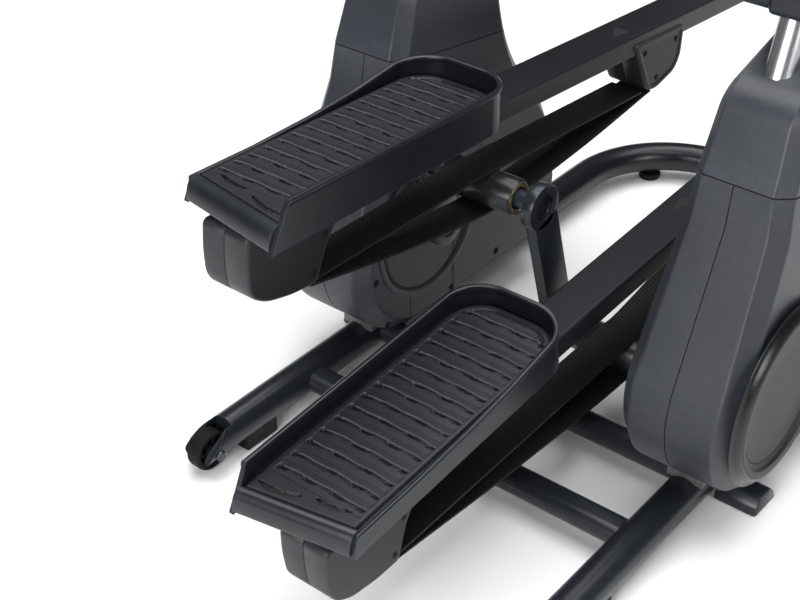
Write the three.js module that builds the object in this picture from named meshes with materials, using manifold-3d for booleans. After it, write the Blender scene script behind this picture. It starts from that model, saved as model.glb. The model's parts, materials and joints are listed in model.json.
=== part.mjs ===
// A suspended-pedal elliptical trainer, in millimetres, +Z up.
// +X is the machine's right side, +Y is its front, and the floor is Z = 0.
// Until the last lines, Y = 0 is the crank axis. The exported group is then moved so that the
// middle of its footprint is at the origin.
import * as THREE from 'three';
import { mergeVertices } from 'three/addons/utils/BufferGeometryUtils.js';
import Module from 'manifold-3d';

const wasm = await Module();
wasm.setup();

// ---------------------------------------------------------------- driving dimensions
const DEG = Math.PI / 180;
const GAP = 0.3; // between pieces that touch
const RUN = 0.5; // radial clearance of a turning fit

// base loop
const TUBE_R = 28.5;
const BASE_X = 315; // centre lines of the side tubes
const BASE_Z = 46;
const BASE_FRONT = 819;
const BASE_REAR = -475;
const CORNER_R = 210;
const CROSS_R = 22;
const CROSS_Y = -43;
const REAR_CROSS_Y = -221;
const REAR_CROSS_WIDE = 50;
const REAR_CROSS_TALL = 34;

// transport wheels
const WHEEL_R = 33;
const WHEEL_W = 28;
const WHEEL_Y = -452;
const WHEEL_Z = 37;
const AXLE_R = 6;

// crank
const CRANK_Z = 272;
const CRANK_R = 132;
const CRANK_LEAN = 16.8; // the left crankpin leans this far back from upright
const WEB_THICK = 20;
const WEB_WIDE = 57;
const BOSS_R = 37;
const PIN_R = 15;
const JOURNAL_R = 19;
const OUTER_WEB_X = 194; // inner face of the outer webs, clear of the footplates as they pass
const ROLLER_R = 29;
const ROLLER_IN = 37;
const ROLLER_LONG = 128;

// pedal arms
const ARM_X = 112;
const BEAM_WIDE = 70;
const BEAM_TALL = 38;
const BEAM_BACK = 1322; // from the front pivot to the rear end
const PIVOT_R = 12;
const BARREL_R = 25;
const ARM_PITCH = { left: -5.0, right: 2.3 };

// footplates
const TRAY_BACK = 1361; // from the front pivot to the tray's rear edge
const TRAY_INWARD = 12; // the tray's middle stands this much nearer the other arm than the beam
const TRAY_LONG = 492;
const TRAY_WIDE = 180;
const TRAY_TALL = 66;
const TRAY_WALL = 5;
const TRAY_SKIRT = 25; // the floor's height above the bottom edge
const TRAY_FLOOR = 5;
const TRAY_PITCH = 1.75;
const TRAY_DROP = 8.8; // rear bottom edge above the pivot line
const TRAY_SKEW = 30; // the inner end of the rear edge stands this much further back
const TRAY_CORNER = 62;
const TRAY_SLOPE = 33; // run of the slanted wall ends
const TRAY_LOW_WALL = 34; // height of the outer wall along its rear half
const MAT_MARGIN = 7;
const MAT_THICK = 3;
const RIB_COUNT = 15;
const RIB_TALL = 3.5;
const RIB_WIDE = 14;

// support belts
const BELT_WIDE = 60;
const BELT_THICK = 4;

// covers under the arms
const COVER_WIDE = 80;
const BRACKET_WIDE = 78;

// swing arms
const SWING_Y = 300;
const SWING_Z = 760;
const SWING_R = 560;
const SWING_REST = { left: 57.2, right: 39.1 };
const LEVER_X = 205;
const LEVER_R = 17;
const LEVER_BOSS_R = 30;
const LEVER_BOSS_W = 34;
const LEVER_TOP = { y: -186, z: 410 };
const LEVER_FLARE = 26; // how far the handle ends stand outside the lever's foot
const SHAFT_R = 14;
const GRIP_R = 21;
const GRIP_LONG = 190;

// uprights
const UPRIGHT_R = 21;
const UPRIGHT_LEAN = 18.2;
const UPRIGHT_Y = 39; // on the centre line at this height
const UPRIGHT_AT = 713;
const UPRIGHT_FOOT = 262; // where it stands in the bearing block
const UPRIGHT_TOP = 1400;
const BRIDGE_Z = 1512;
const CONSOLE_HALF = 165;
const CONSOLE_TALL = 210;
const CONSOLE_THICK = 42;
const CONSOLE_TILT = 28;

// housings
const HOUSE_X = BASE_X + 7; // middle of each housing
const HOUSE_WIDE = 180;
const HOUSE_WALL = 4;
const HOUSE_BEVEL = 24;
const HOUSE_FOOT = BASE_Z + TUBE_R + GAP;
const LOBE_Y = -22;
const LOBE_R = 152;
const CAP_LINE = 561;
const CAP_TILT = 8;
const SEAM_X = BASE_X;
const DISC_Y = -27;
const DISC_Z = 242;
const DISC_R = 138;
const DISC_THICK = 12;

// drive inside the right housing
const PULLEY_X = BASE_X + 37;
const BEARING_IN = 47; // inner face of the bearing plate, inboard of the side tube's centre line
const JOURNAL_IN = 15; // the left journal's end, inboard of the same line
const PULLEY_R = 92;
const PULLEY_W = 14;
const FLYWHEEL_Y = 222;
const FLYWHEEL_Z = 212;
const FLYWHEEL_R = 104;
const FLYWHEEL_W = 20;
const SMALL_PULLEY_R = 18;
const DRIVE_BELT_T = 3;

// ---------------------------------------------------------------- materials
function finish(color, roughness, metalness) {
  return new THREE.MeshStandardMaterial({ color, roughness, metalness });
}
const satinBlack = () => finish(0x22252b, 0.42, 0.35);
const armPaint = () => finish(0x2b2f37, 0.4, 0.3);
const grainedPlastic = () => finish(0x303238, 0.62, 0);
const darkPlastic = () => finish(0x1d1f23, 0.55, 0);
const capPlastic = () => finish(0x26282d, 0.5, 0);
const discPlastic = () => finish(0x4a4b4f, 0.5, 0);
const matRubber = () => finish(0x2a303a, 0.7, 0);
const beltRubber = () => finish(0x15130f, 0.8, 0);
const footRubber = () => finish(0x121315, 0.85, 0);
const brushedSteel = () => finish(0xb4b7ba, 0.3, 0.9);
const zincSteel = () => finish(0x8d9095, 0.35, 0.9);
const castIron = () => finish(0x3c3d40, 0.6, 0.6);
const gripFoam = () => finish(0x17181a, 0.9, 0);
const screenGlass = () => finish(0x0a0c10, 0.12, 0);

// ---------------------------------------------------------------- helpers
function toSolid(geometry) {
  const bare = geometry.clone();
  bare.deleteAttribute('normal');
  bare.deleteAttribute('uv');
  const merged = mergeVertices(bare, 1e-4);
  return new wasm.Manifold(new wasm.Mesh({
    numProp: 3,
    vertProperties: Float32Array.from(merged.attributes.position.array),
    triVerts: Uint32Array.from(merged.index.array),
  }));
}

function fromSolid(solid) {
  const mesh = solid.getMesh();
  const geometry = new THREE.BufferGeometry();
  geometry.setAttribute('position', new THREE.BufferAttribute(Float32Array.from(mesh.vertProperties), 3));
  geometry.setIndex(new THREE.BufferAttribute(Uint32Array.from(mesh.triVerts), 1));
  geometry.computeVertexNormals();
  return geometry;
}

// join(a, b, ...) and cut(body, tools) work on geometries
function join(...pieces) {
  let body = toSolid(pieces[0]);
  for (const piece of pieces.slice(1)) body = body.add(toSolid(piece));
  return fromSolid(body);
}

function cut(body, ...tools) {
  let solid = toSolid(body);
  for (const tool of tools) solid = solid.subtract(toSolid(tool));
  return fromSolid(solid);
}

function keep(body, tool) {
  return fromSolid(toSolid(body).intersect(toSolid(tool)));
}

function box(x0, x1, y0, y1, z0, z1) {
  const geometry = new THREE.BoxGeometry(x1 - x0, y1 - y0, z1 - z0);
  return geometry.translate((x0 + x1) / 2, (y0 + y1) / 2, (z0 + z1) / 2);
}

// cylinder along X between x0 and x1
function barX(r, x0, x1, y, z, sides = 24) {
  const geometry = new THREE.CylinderGeometry(r, r, Math.abs(x1 - x0), sides);
  return geometry.rotateZ(Math.PI / 2).translate((x0 + x1) / 2, y, z);
}

// a lathe profile of [radius, height] pairs, turned about X, its height running towards +X
function latheX(profile, x, y, z, sides = 32) {
  const points = profile.map(([r, h]) => new THREE.Vector2(r, h));
  return new THREE.LatheGeometry(points, sides).rotateZ(-Math.PI / 2).translate(x, y, z);
}

// a lathe profile turned about Z
function latheZ(profile, x, y, z, sides = 28) {
  const points = profile.map(([r, h]) => new THREE.Vector2(r, h));
  return new THREE.LatheGeometry(points, sides).rotateX(Math.PI / 2).translate(x, y, z);
}

// turns an extrusion's own X, Y and Z into the machine's Y, Z and X
const SIDE_VIEW = new THREE.Matrix4().makeBasis(
  new THREE.Vector3(0, 1, 0),
  new THREE.Vector3(0, 0, 1),
  new THREE.Vector3(1, 0, 0),
);

// a side outline in Y and Z, made solid from x0 to x1
function slab(shape, x0, x1, curveSegments = 8) {
  const depth = x1 - x0;
  const geometry = new THREE.ExtrudeGeometry(shape, { depth, bevelEnabled: false, curveSegments });
  return geometry.applyMatrix4(SIDE_VIEW).translate(x0, 0, 0);
}

function polygon(points) {
  return new THREE.Shape(points.map(([a, b]) => new THREE.Vector2(a, b)));
}

// a plan outline in X and Y, made solid from z0 to z1
function plate(shape, z0, z1, curveSegments = 8) {
  const depth = z1 - z0;
  const geometry = new THREE.ExtrudeGeometry(shape, { depth, bevelEnabled: false, curveSegments });
  return geometry.translate(0, 0, z0);
}

function disc(r, sides) {
  const shape = new THREE.Shape();
  for (let i = 0; i < sides; i += 1) {
    const a = (i / sides) * 2 * Math.PI;
    const x = r * Math.cos(a);
    const y = r * Math.sin(a);
    if (i === 0) shape.moveTo(x, y);
    else shape.lineTo(x, y);
  }
  shape.closePath();
  return shape;
}

// a path of several curves, each with its own number of steps
class Route extends THREE.Curve {
  constructor(pieces) {
    super();
    this.pieces = pieces;
    this.steps = pieces.reduce((sum, [, steps]) => sum + steps, 0);
  }

  getPoint(t, target = new THREE.Vector3()) {
    let s = t * this.steps;
    for (const [curve, steps] of this.pieces) {
      if (s <= steps + 1e-9) return curve.getPoint(Math.min(s / steps, 1), target);
      s -= steps;
    }
    return this.pieces.at(-1)[0].getPoint(1, target);
  }

  // steps follow the pieces, not the length along the path
  getPointAt(u, target) {
    return this.getPoint(u, target);
  }

  getTangentAt(u, target) {
    return this.getTangent(u, target);
  }
}

function tubeAlong(route, r, sides) {
  const options = { steps: route.steps, extrudePath: route, bevelEnabled: false };
  return new THREE.ExtrudeGeometry(disc(r, sides), options);
}

function rod(from, to, r, sides = 20) {
  return tubeAlong(new Route([[new THREE.LineCurve3(from, to), 1]]), r, sides);
}

const machine = new THREE.Group();

function add(parent, name, geometry, material) {
  const mesh = new THREE.Mesh(geometry, material);
  mesh.name = name;
  parent.add(mesh);
  return mesh;
}

const SIDES = [['left', -1], ['right', 1]];

// ---------------------------------------------------------------- base
// One tube runs up the left side, round the front and back down the right side. Its open ends
// are slotted for the transport wheels.
class Corner extends THREE.Curve {
  constructor(side) {
    super();
    this.side = side;
  }

  getPoint(t, target = new THREE.Vector3()) {
    const angle = (this.side < 0 ? t : 1 - t) * (Math.PI / 2);
    const x = this.side * (BASE_X - CORNER_R + CORNER_R * Math.cos(angle));
    return target.set(x, BASE_FRONT - CORNER_R + CORNER_R * Math.sin(angle), BASE_Z);
  }
}

function baseRoute() {
  const bendY = BASE_FRONT - CORNER_R;
  const at = (x, y) => new THREE.Vector3(x, y, BASE_Z);
  return new Route([
    [new THREE.LineCurve3(at(-BASE_X, BASE_REAR), at(-BASE_X, bendY)), 2],
    [new Corner(-1), 10],
    [new THREE.LineCurve3(at(CORNER_R - BASE_X, BASE_FRONT), at(BASE_X - CORNER_R, BASE_FRONT)), 1],
    [new Corner(1), 10],
    [new THREE.LineCurve3(at(BASE_X, bendY), at(BASE_X, BASE_REAR)), 2],
  ]);
}

function wheelSlot(side) {
  const half = WHEEL_W / 2 + 2;
  return box(side * BASE_X - half, side * BASE_X + half, BASE_REAR - 10, WHEEL_Y + WHEEL_R + 5, -10, 100);
}

// the slanted end of each tube: the top is cut back above the wheel
function slantedEnd(side) {
  const slope = polygon([
    [WHEEL_Y + 34, BASE_Z + TUBE_R + 5],
    [BASE_REAR - 12, WHEEL_Z + 3],
    [BASE_REAR - 12, BASE_Z + TUBE_R + 5],
  ]);
  return slab(slope, side * BASE_X - 40, side * BASE_X + 40);
}

function sideTubeClearance(side, gap = GAP) {
  const from = new THREE.Vector3(side * BASE_X, BASE_REAR, BASE_Z);
  const to = new THREE.Vector3(side * BASE_X, BASE_FRONT - CORNER_R, BASE_Z);
  return rod(from, to, TUBE_R + gap, 32);
}

const loop = tubeAlong(baseRoute(), TUBE_R, 16);
const slots = SIDES.flatMap(([, side]) => [
  wheelSlot(side),
  slantedEnd(side),
  barX(AXLE_R + GAP, side * BASE_X - 40, side * BASE_X + 40, WHEEL_Y, WHEEL_Z, 16),
]);
add(machine, 'base_loop_tube', cut(loop, ...slots), satinBlack());

function crossMember(section, y) {
  const bar = new THREE.ExtrudeGeometry(section, { depth: 2 * BASE_X, bevelEnabled: false, curveSegments: 8 });
  bar.applyMatrix4(SIDE_VIEW).translate(-BASE_X, y, BASE_Z);
  return cut(bar, sideTubeClearance(-1), sideTubeClearance(1));
}

function oval(wide, tall) {
  const shape = new THREE.Shape();
  const flat = (wide - tall) / 2;
  shape.moveTo(-flat, -tall / 2);
  shape.lineTo(flat, -tall / 2);
  shape.absarc(flat, 0, tall / 2, -Math.PI / 2, Math.PI / 2, false);
  shape.lineTo(-flat, tall / 2);
  shape.absarc(-flat, 0, tall / 2, Math.PI / 2, 1.5 * Math.PI, false);
  return shape;
}

add(machine, 'front_crossbar', crossMember(disc(CROSS_R, 20), CROSS_Y), satinBlack());
add(machine, 'rear_crossbar', crossMember(oval(REAR_CROSS_WIDE, REAR_CROSS_TALL), REAR_CROSS_Y), satinBlack());

for (const [name, side] of SIDES) {
  const x = side * BASE_X;
  // rear foot block, shaped to the tube above it
  const rearFoot = box(x - 24, x + 24, -388, -318, 0, BASE_Z);
  add(machine, `rear_foot_${name}`, cut(rearFoot, sideTubeClearance(side)), footRubber());

  // round front foot under the corner bend, on a short stem
  const bend = 45 * DEG;
  const footX = side * (BASE_X - CORNER_R + CORNER_R * Math.cos(bend));
  const footY = BASE_FRONT - CORNER_R + CORNER_R * Math.sin(bend);
  const under = BASE_Z - TUBE_R - GAP;
  const puck = [[0, 0], [19, 0], [22, 3], [22, 12], [19, 14], [10, 14], [10, under], [0, under]];
  add(machine, `front_foot_${name}`, latheZ(puck, footX, footY, 0, 18), footRubber());

  // outrigger foot that steadies the tower, outside the side tube
  const wing = polygon([[-26, 0], [40, 0], [34, 16], [20, 30], [-10, 30], [-22, 16]]);
  const outrigger = slab(wing, side > 0 ? x + 8 : x - 92, side > 0 ? x + 92 : x - 8);
  add(machine, `outrigger_foot_${name}`, cut(outrigger, sideTubeClearance(side)), satinBlack());

  // transport wheel and its axle bolt
  const half = WHEEL_W / 2;
  const tread = [
    [AXLE_R + RUN, -half], [WHEEL_R - 3, -half], [WHEEL_R, -half + 4], [WHEEL_R, half - 4],
    [WHEEL_R - 3, half], [AXLE_R + RUN, half], [AXLE_R + RUN, -half],
  ];
  add(machine, `transport_wheel_${name}`, latheX(tread, x, WHEEL_Y, WHEEL_Z, 20), footRubber());
  const reach = TUBE_R + GAP;
  const bolt = [[0, -reach - 5], [9, -reach - 5], [9, -reach], [AXLE_R, -reach], [AXLE_R, reach], [9, reach],
    [9, reach + 5], [0, reach + 5]];
  add(machine, `wheel_axle_${name}`, latheX(bolt, x, WHEEL_Y, WHEEL_Z, 12), zincSteel());
}

// ---------------------------------------------------------------- uprights
function uprightY(z) {
  return UPRIGHT_Y + (z - UPRIGHT_AT) * Math.tan(UPRIGHT_LEAN * DEG);
}

// The upright leans forward from the side tube, then bends inwards to the console.
function uprightRoute(side) {
  const top = new THREE.Vector3(side * BASE_X, uprightY(UPRIGHT_TOP), UPRIGHT_TOP);
  const bend = new THREE.Vector3(side * BASE_X, uprightY(BRIDGE_Z), BRIDGE_Z);
  const inner = new THREE.Vector3(side * (CONSOLE_HALF + 40), uprightY(BRIDGE_Z), BRIDGE_Z);
  const end = new THREE.Vector3(side * (CONSOLE_HALF + GAP), uprightY(BRIDGE_Z), BRIDGE_Z);
  const foot = new THREE.Vector3(side * BASE_X, uprightY(UPRIGHT_FOOT), UPRIGHT_FOOT);
  return new Route([
    [new THREE.LineCurve3(foot, top), 1],
    [new THREE.QuadraticBezierCurve3(top, bend, inner), 8],
    [new THREE.LineCurve3(inner, end), 1],
  ]);
}

function uprightClearance(side, gap) {
  const from = new THREE.Vector3(side * BASE_X, uprightY(0), 0);
  const to = new THREE.Vector3(side * BASE_X, uprightY(UPRIGHT_TOP), UPRIGHT_TOP);
  return rod(from, to, UPRIGHT_R + gap, 24);
}

// ---------------------------------------------------------------- housings
// Side outline of a tower: a round lobe at the rear, a sloping front and a leaning column.
function towerOutline() {
  const shape = new THREE.Shape();
  const lobeZ = HOUSE_FOOT + LOBE_R;
  shape.moveTo(LOBE_Y, HOUSE_FOOT);
  shape.absarc(LOBE_Y, lobeZ, LOBE_R, -Math.PI / 2, -Math.PI - 24 * DEG, true);
  shape.lineTo(-63, 561);
  shape.lineTo(-36, 642);
  shape.quadraticCurveTo(-26, 676, 12, 688);
  shape.lineTo(134, 724);
  shape.quadraticCurveTo(190, 736, 203, 680);
  shape.lineTo(219, 578);
  shape.quadraticCurveTo(232, 470, 292, 402);
  shape.quadraticCurveTo(368, 330, 383, 190);
  shape.lineTo(383, 140);
  shape.quadraticCurveTo(376, HOUSE_FOOT, 320, HOUSE_FOOT);
  shape.closePath();
  return shape;
}

// the tower narrows towards its top
function narrow(geometry, side) {
  const position = geometry.attributes.position;
  for (let i = 0; i < position.count; i += 1) {
    const rise = THREE.MathUtils.clamp((position.getZ(i) - 330) / (CAP_LINE - 330), 0, 1.6);
    const factor = 1 - 0.2 * rise;
    position.setX(i, side * SEAM_X + (position.getX(i) - side * SEAM_X) * factor);
  }
  return geometry;
}

// inset = 0 gives the outside of the housing, and HOUSE_WALL its hollow
function towerBody(side, inset) {
  const options = {
    depth: HOUSE_WIDE - 2 * HOUSE_BEVEL,
    bevelEnabled: true,
    bevelThickness: HOUSE_BEVEL - inset,
    bevelSize: HOUSE_BEVEL,
    bevelOffset: -HOUSE_BEVEL - inset,
    bevelSegments: 1,
    curveSegments: 5,
  };
  const geometry = new THREE.ExtrudeGeometry(towerOutline(), options);
  geometry.translate(0, 0, -options.depth / 2);
  geometry.applyMatrix4(SIDE_VIEW).translate(side * HOUSE_X, 0, 0);
  return narrow(geometry, side);
}

// the space above the joint between shells and cap
function aboveCapLine(side, lift) {
  const rise = 400 * Math.tan(CAP_TILT * DEG);
  const above = polygon([
    [-200, CAP_LINE + lift + rise * 0.34],
    [400, CAP_LINE + lift - rise * 1.16],
    [400, 900],
    [-200, 900],
  ]);
  return slab(above, side * BASE_X - 200, side * BASE_X + 200);
}

// side outline of the block that stands on the side tube and holds the upright's foot
const BLOCK_FOOT = BASE_Z + CROSS_R + 1;
const TOWER_BLOCK = [[-90, BLOCK_FOOT], [30, BLOCK_FOOT], [20, 190], [-40, 262], [-122, 262], [-90, 150]];
const BLOCK_HALF = 30;

for (const [name, side] of SIDES) {
  add(machine, `upright_tube_${name}`, tubeAlong(uprightRoute(side), UPRIGHT_R, 16), brushedSteel());

  const skin = cut(towerBody(side, 0), towerBody(side, HOUSE_WALL));
  const blockGap = slab(
    polygon([[-90 - GAP, 0], [30 + GAP, 0], [30 + GAP, 110], [-90 - GAP, 110]]),
    side * BASE_X - BLOCK_HALF - GAP,
    side * BASE_X + BLOCK_HALF + GAP,
  );
  const hollow = cut(skin, uprightClearance(side, 3), sideTubeClearance(side), blockGap);
  const seam = side * SEAM_X;
  const inner = side > 0 ? box(0, seam - GAP / 2, -400, 500, 0, 900) : box(seam + GAP / 2, 0, -400, 500, 0, 900);
  const outer = side > 0 ? box(seam + GAP / 2, 600, -400, 500, 0, 900) : box(-600, seam - GAP / 2, -400, 500, 0, 900);
  const shaftHole = barX(JOURNAL_R + 4, side * (SEAM_X - 115), side * SEAM_X, 0, CRANK_Z, 28);
  const lower = cut(hollow, aboveCapLine(side, -GAP / 2));
  add(machine, `housing_inner_shell_${name}`, cut(keep(lower, inner), shaftHole), grainedPlastic());
  add(machine, `housing_outer_shell_${name}`, keep(lower, outer), grainedPlastic());
  add(machine, `housing_top_cap_${name}`, keep(hollow, aboveCapLine(side, GAP / 2)), capPlastic());

  // round cover on the outer face, with a raised rim and a shallow dish
  const face = HOUSE_X + HOUSE_WIDE / 2 + GAP;
  const dish = [[0, 0], [DISC_R, 0], [DISC_R, 2], [DISC_R - 12, DISC_THICK], [DISC_R - 20, DISC_THICK],
    [DISC_R - 24, DISC_THICK - 5], [0, DISC_THICK - 5]];
  const cover = latheX(dish, 0, 0, 0, 36);
  if (side < 0) cover.rotateZ(Math.PI);
  add(machine, `side_disc_cover_${name}`, cover.translate(side * face, DISC_Y, DISC_Z), discPlastic());

  // bearing plate between the upright and the crank, inside the tower
  const plateEnds = [BASE_X - BEARING_IN, BASE_X - UPRIGHT_R - GAP];
  const plateX = side > 0 ? plateEnds : [-plateEnds[1], -plateEnds[0]];
  const toFlywheel = [[-150, 232], [-20, 220], [190, 170], [250, 170], [256, 240], [40, 318], [-130, 330]];
  const toCrank = [[-150, 232], [20, 226], [44, 250], [44, 294], [20, 318], [-130, 330]];
  const webPlate = slab(polygon(side > 0 ? toFlywheel : toCrank), plateX[0], plateX[1]);
  const block = slab(polygon(TOWER_BLOCK), side * BASE_X - BLOCK_HALF, side * BASE_X + BLOCK_HALF);
  const bore = barX(JOURNAL_R + RUN, side * (BASE_X - 75), side * (BASE_X - JOURNAL_IN), 0, CRANK_Z, 32);
  let bearing = cut(join(webPlate, block), bore, uprightClearance(side, GAP), sideTubeClearance(side));
  if (side > 0) bearing = cut(bearing, barX(8 + RUN, BASE_X - 75, BASE_X - JOURNAL_IN, FLYWHEEL_Y, FLYWHEEL_Z, 20));
  add(machine, `crank_bearing_${name}`, bearing, castIron());
}

// ---------------------------------------------------------------- console
const bridgeY = uprightY(BRIDGE_Z);
const consoleCase = new THREE.BoxGeometry(2 * CONSOLE_HALF, CONSOLE_THICK, CONSOLE_TALL);
const caseCut = box(-CONSOLE_HALF + 20, CONSOLE_HALF - 20, -CONSOLE_THICK, -CONSOLE_THICK / 2 + 6, -82, 88);
const consoleGroup = new THREE.Group();
consoleGroup.position.set(0, bridgeY, BRIDGE_Z + 12);
consoleGroup.rotation.x = -CONSOLE_TILT * DEG;
machine.add(consoleGroup);
add(consoleGroup, 'console_housing', cut(consoleCase, caseCut), darkPlastic());
const glassBack = -CONSOLE_THICK / 2 + 6 - GAP;
const glass = box(-CONSOLE_HALF + 21, CONSOLE_HALF - 21, glassBack - 5, glassBack, -81, 87);
add(consoleGroup, 'console_screen', glass, screenGlass());
const shelf = box(-CONSOLE_HALF + 30, CONSOLE_HALF - 30, -CONSOLE_THICK / 2 - 46, -CONSOLE_THICK / 2 - GAP, -104, -92);
add(consoleGroup, 'console_shelf', shelf, darkPlastic());

// ---------------------------------------------------------------- crank
function crankPoint(side) {
  const lean = CRANK_LEAN * DEG;
  return { y: side * CRANK_R * Math.sin(lean), z: CRANK_Z - side * CRANK_R * Math.cos(lean) };
}

function web(x0, x1, from, to) {
  const along = new THREE.Vector2(to.y - from.y, to.z - from.z).normalize();
  const half = WEB_WIDE / 2;
  const bar = polygon([
    [from.y - along.y * half, from.z + along.x * half],
    [to.y - along.y * half, to.z + along.x * half],
    [to.y + along.y * half, to.z - along.x * half],
    [from.y + along.y * half, from.z - along.x * half],
  ]);
  const ends = [from, to].map((p) => barX(BOSS_R, x0, x1, p.y, p.z, 20));
  return join(slab(bar, x0, x1), ...ends);
}

const leftPin = crankPoint(-1);
const rightPin = crankPoint(1);
const axis = { y: 0, z: CRANK_Z };
let crankshaft = web(-WEB_THICK / 2, WEB_THICK / 2, leftPin, rightPin);
const journalEnd = { left: BASE_X - JOURNAL_IN, right: PULLEY_X + PULLEY_W / 2 + 4 };
for (const [name, side] of SIDES) {
  const pin = side < 0 ? leftPin : rightPin;
  const x0 = side > 0 ? OUTER_WEB_X : -OUTER_WEB_X - WEB_THICK;
  const journalX = side * (OUTER_WEB_X + WEB_THICK / 2);
  crankshaft = join(
    crankshaft,
    web(x0, x0 + WEB_THICK, axis, pin),
    barX(PIN_R, 0, side * (OUTER_WEB_X + WEB_THICK / 2), pin.y, pin.z, 16),
    barX(JOURNAL_R, journalX, side * journalEnd[name], 0, CRANK_Z, 20),
  );
}
add(machine, 'crankshaft', crankshaft, satinBlack());

for (const [name, side] of SIDES) {
  const pin = side < 0 ? leftPin : rightPin;
  const middle = side * (ROLLER_IN + ROLLER_LONG / 2);
  const half = ROLLER_LONG / 2;
  const sleeve = [[PIN_R + RUN, -half], [ROLLER_R - 2, -half], [ROLLER_R, -half + 2], [ROLLER_R, half - 2],
    [ROLLER_R - 2, half], [PIN_R + RUN, half], [PIN_R + RUN, -half]];
  add(machine, `crank_roller_${name}`, latheX(sleeve, middle, pin.y, pin.z, 24), darkPlastic());
}

// ---------------------------------------------------------------- drive
const halfPulley = PULLEY_W / 2;
const rimProfile = [[JOURNAL_R + GAP, -halfPulley], [PULLEY_R - 8, -3], [PULLEY_R, -halfPulley],
  [PULLEY_R, halfPulley], [PULLEY_R - 8, 3], [JOURNAL_R + GAP, halfPulley], [JOURNAL_R + GAP, -halfPulley]];
add(machine, 'drive_pulley', latheX(rimProfile, PULLEY_X, 0, CRANK_Z, 24), castIron());

const flyX = PULLEY_X + halfPulley + 6;
const shaftFrom = -(PULLEY_X - BASE_X + BEARING_IN + 6);
const flyOffset = flyX - PULLEY_X;
const flyProfile = [[0, shaftFrom], [8, shaftFrom], [8, -halfPulley - 4], [SMALL_PULLEY_R, -halfPulley - 4],
  [SMALL_PULLEY_R, flyOffset], [FLYWHEEL_R, flyOffset], [FLYWHEEL_R, flyOffset + FLYWHEEL_W],
  [FLYWHEEL_R - 26, flyOffset + FLYWHEEL_W], [FLYWHEEL_R - 26, flyOffset + 10], [0, flyOffset + 10]];
add(machine, 'flywheel', latheX(flyProfile, PULLEY_X, FLYWHEEL_Y, FLYWHEEL_Z, 24), castIron());

// the drive belt is the band between two outlines wrapped round both pulleys
function wrapped(rBig, rSmall) {
  const dy = FLYWHEEL_Y;
  const dz = FLYWHEEL_Z - CRANK_Z;
  const reach = Math.hypot(dy, dz);
  const heading = Math.atan2(dz, dy);
  const spread = Math.acos((rBig - rSmall) / reach);
  const shape = new THREE.Path();
  const steps = 20;
  for (let i = 0; i <= steps; i += 1) {
    const a = heading + spread + (i / steps) * (2 * Math.PI - 2 * spread);
    const y = rBig * Math.cos(a);
    const z = CRANK_Z + rBig * Math.sin(a);
    if (i === 0) shape.moveTo(y, z);
    else shape.lineTo(y, z);
  }
  for (let i = 0; i <= steps / 2; i += 1) {
    const a = heading - spread + (i / (steps / 2)) * 2 * spread;
    shape.lineTo(dy + rSmall * Math.cos(a), FLYWHEEL_Z + rSmall * Math.sin(a));
  }
  shape.closePath();
  return shape;
}
const beltInner = wrapped(PULLEY_R + 0.6, SMALL_PULLEY_R + 0.6);
const beltOuter = wrapped(PULLEY_R + 0.6 + DRIVE_BELT_T, SMALL_PULLEY_R + 0.6 + DRIVE_BELT_T);
const band = new THREE.Shape(beltOuter.getPoints());
band.holes.push(beltInner);
add(machine, 'drive_belt', slab(band, PULLEY_X - 5, PULLEY_X + 5), beltRubber());

// ---------------------------------------------------------------- pedal arms
// Each arm is built about its front pivot: Y runs forward along the beam and Z up from its
// middle. The inner side is the one towards the other arm.
function lowerPivot(name) {
  const angle = SWING_REST[name] * DEG;
  return { y: SWING_Y + SWING_R * Math.sin(angle), z: SWING_Z - SWING_R * Math.cos(angle) };
}

function beamClearance() {
  const half = BEAM_WIDE / 2 + GAP;
  const tall = BEAM_TALL / 2 + GAP;
  return box(-half, half, -BEAM_BACK - 2, 30, -tall, tall);
}

function beam() {
  const half = BEAM_WIDE / 2;
  const tall = BEAM_TALL / 2;
  const r = 5;
  const section = new THREE.Shape();
  section.moveTo(-half + r, -tall);
  section.lineTo(half - r, -tall);
  section.absarc(half - r, -tall + r, r, -Math.PI / 2, 0, false);
  section.lineTo(half, tall - r);
  section.absarc(half - r, tall - r, r, 0, Math.PI / 2, false);
  section.lineTo(-half + r, tall);
  section.absarc(-half + r, tall - r, r, Math.PI / 2, Math.PI, false);
  section.lineTo(-half, -tall + r);
  section.absarc(-half + r, -tall + r, r, Math.PI, 1.5 * Math.PI, false);
  const bar = plate(section, 0, BEAM_BACK, 3);
  bar.rotateX(Math.PI / 2);
  const barrel = barX(BARREL_R, -half, half, 0, 0, 28);
  return cut(join(bar, barrel), barX(PIVOT_R + RUN, -half - 5, half + 5, 0, 0, 24));
}

// plan outline of the footplate, in the plate's own frame with Y = 0 at its rear edge
function trayOutline(inward, inset, extraRear) {
  const half = TRAY_WIDE / 2 - inset;
  const r = TRAY_CORNER - inset;
  const front = TRAY_LONG - inset;
  const innerRear = -TRAY_SKEW / 2 - extraRear;
  const outerRear = TRAY_SKEW / 2 - extraRear;
  const leftRear = inward < 0 ? innerRear : outerRear;
  const rightRear = inward < 0 ? outerRear : innerRear;
  const shape = new THREE.Shape();
  shape.moveTo(-half, leftRear);
  shape.lineTo(half, rightRear);
  shape.lineTo(half, front - r);
  shape.absarc(half - r, front - r, r, 0, Math.PI / 2, false);
  shape.lineTo(-half + r, front);
  shape.absarc(-half + r, front - r, r, Math.PI / 2, Math.PI, false);
  shape.closePath();
  return shape;
}

// skews a tool along Y, as the tray's rear edge is skewed
function skewed(geometry, inward) {
  const k = -inward * (TRAY_SKEW / TRAY_WIDE);
  return geometry.applyMatrix4(new THREE.Matrix4().set(1, 0, 0, 0, k, 1, 0, 0, 0, 0, 1, 0, 0, 0, 0, 1));
}

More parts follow.
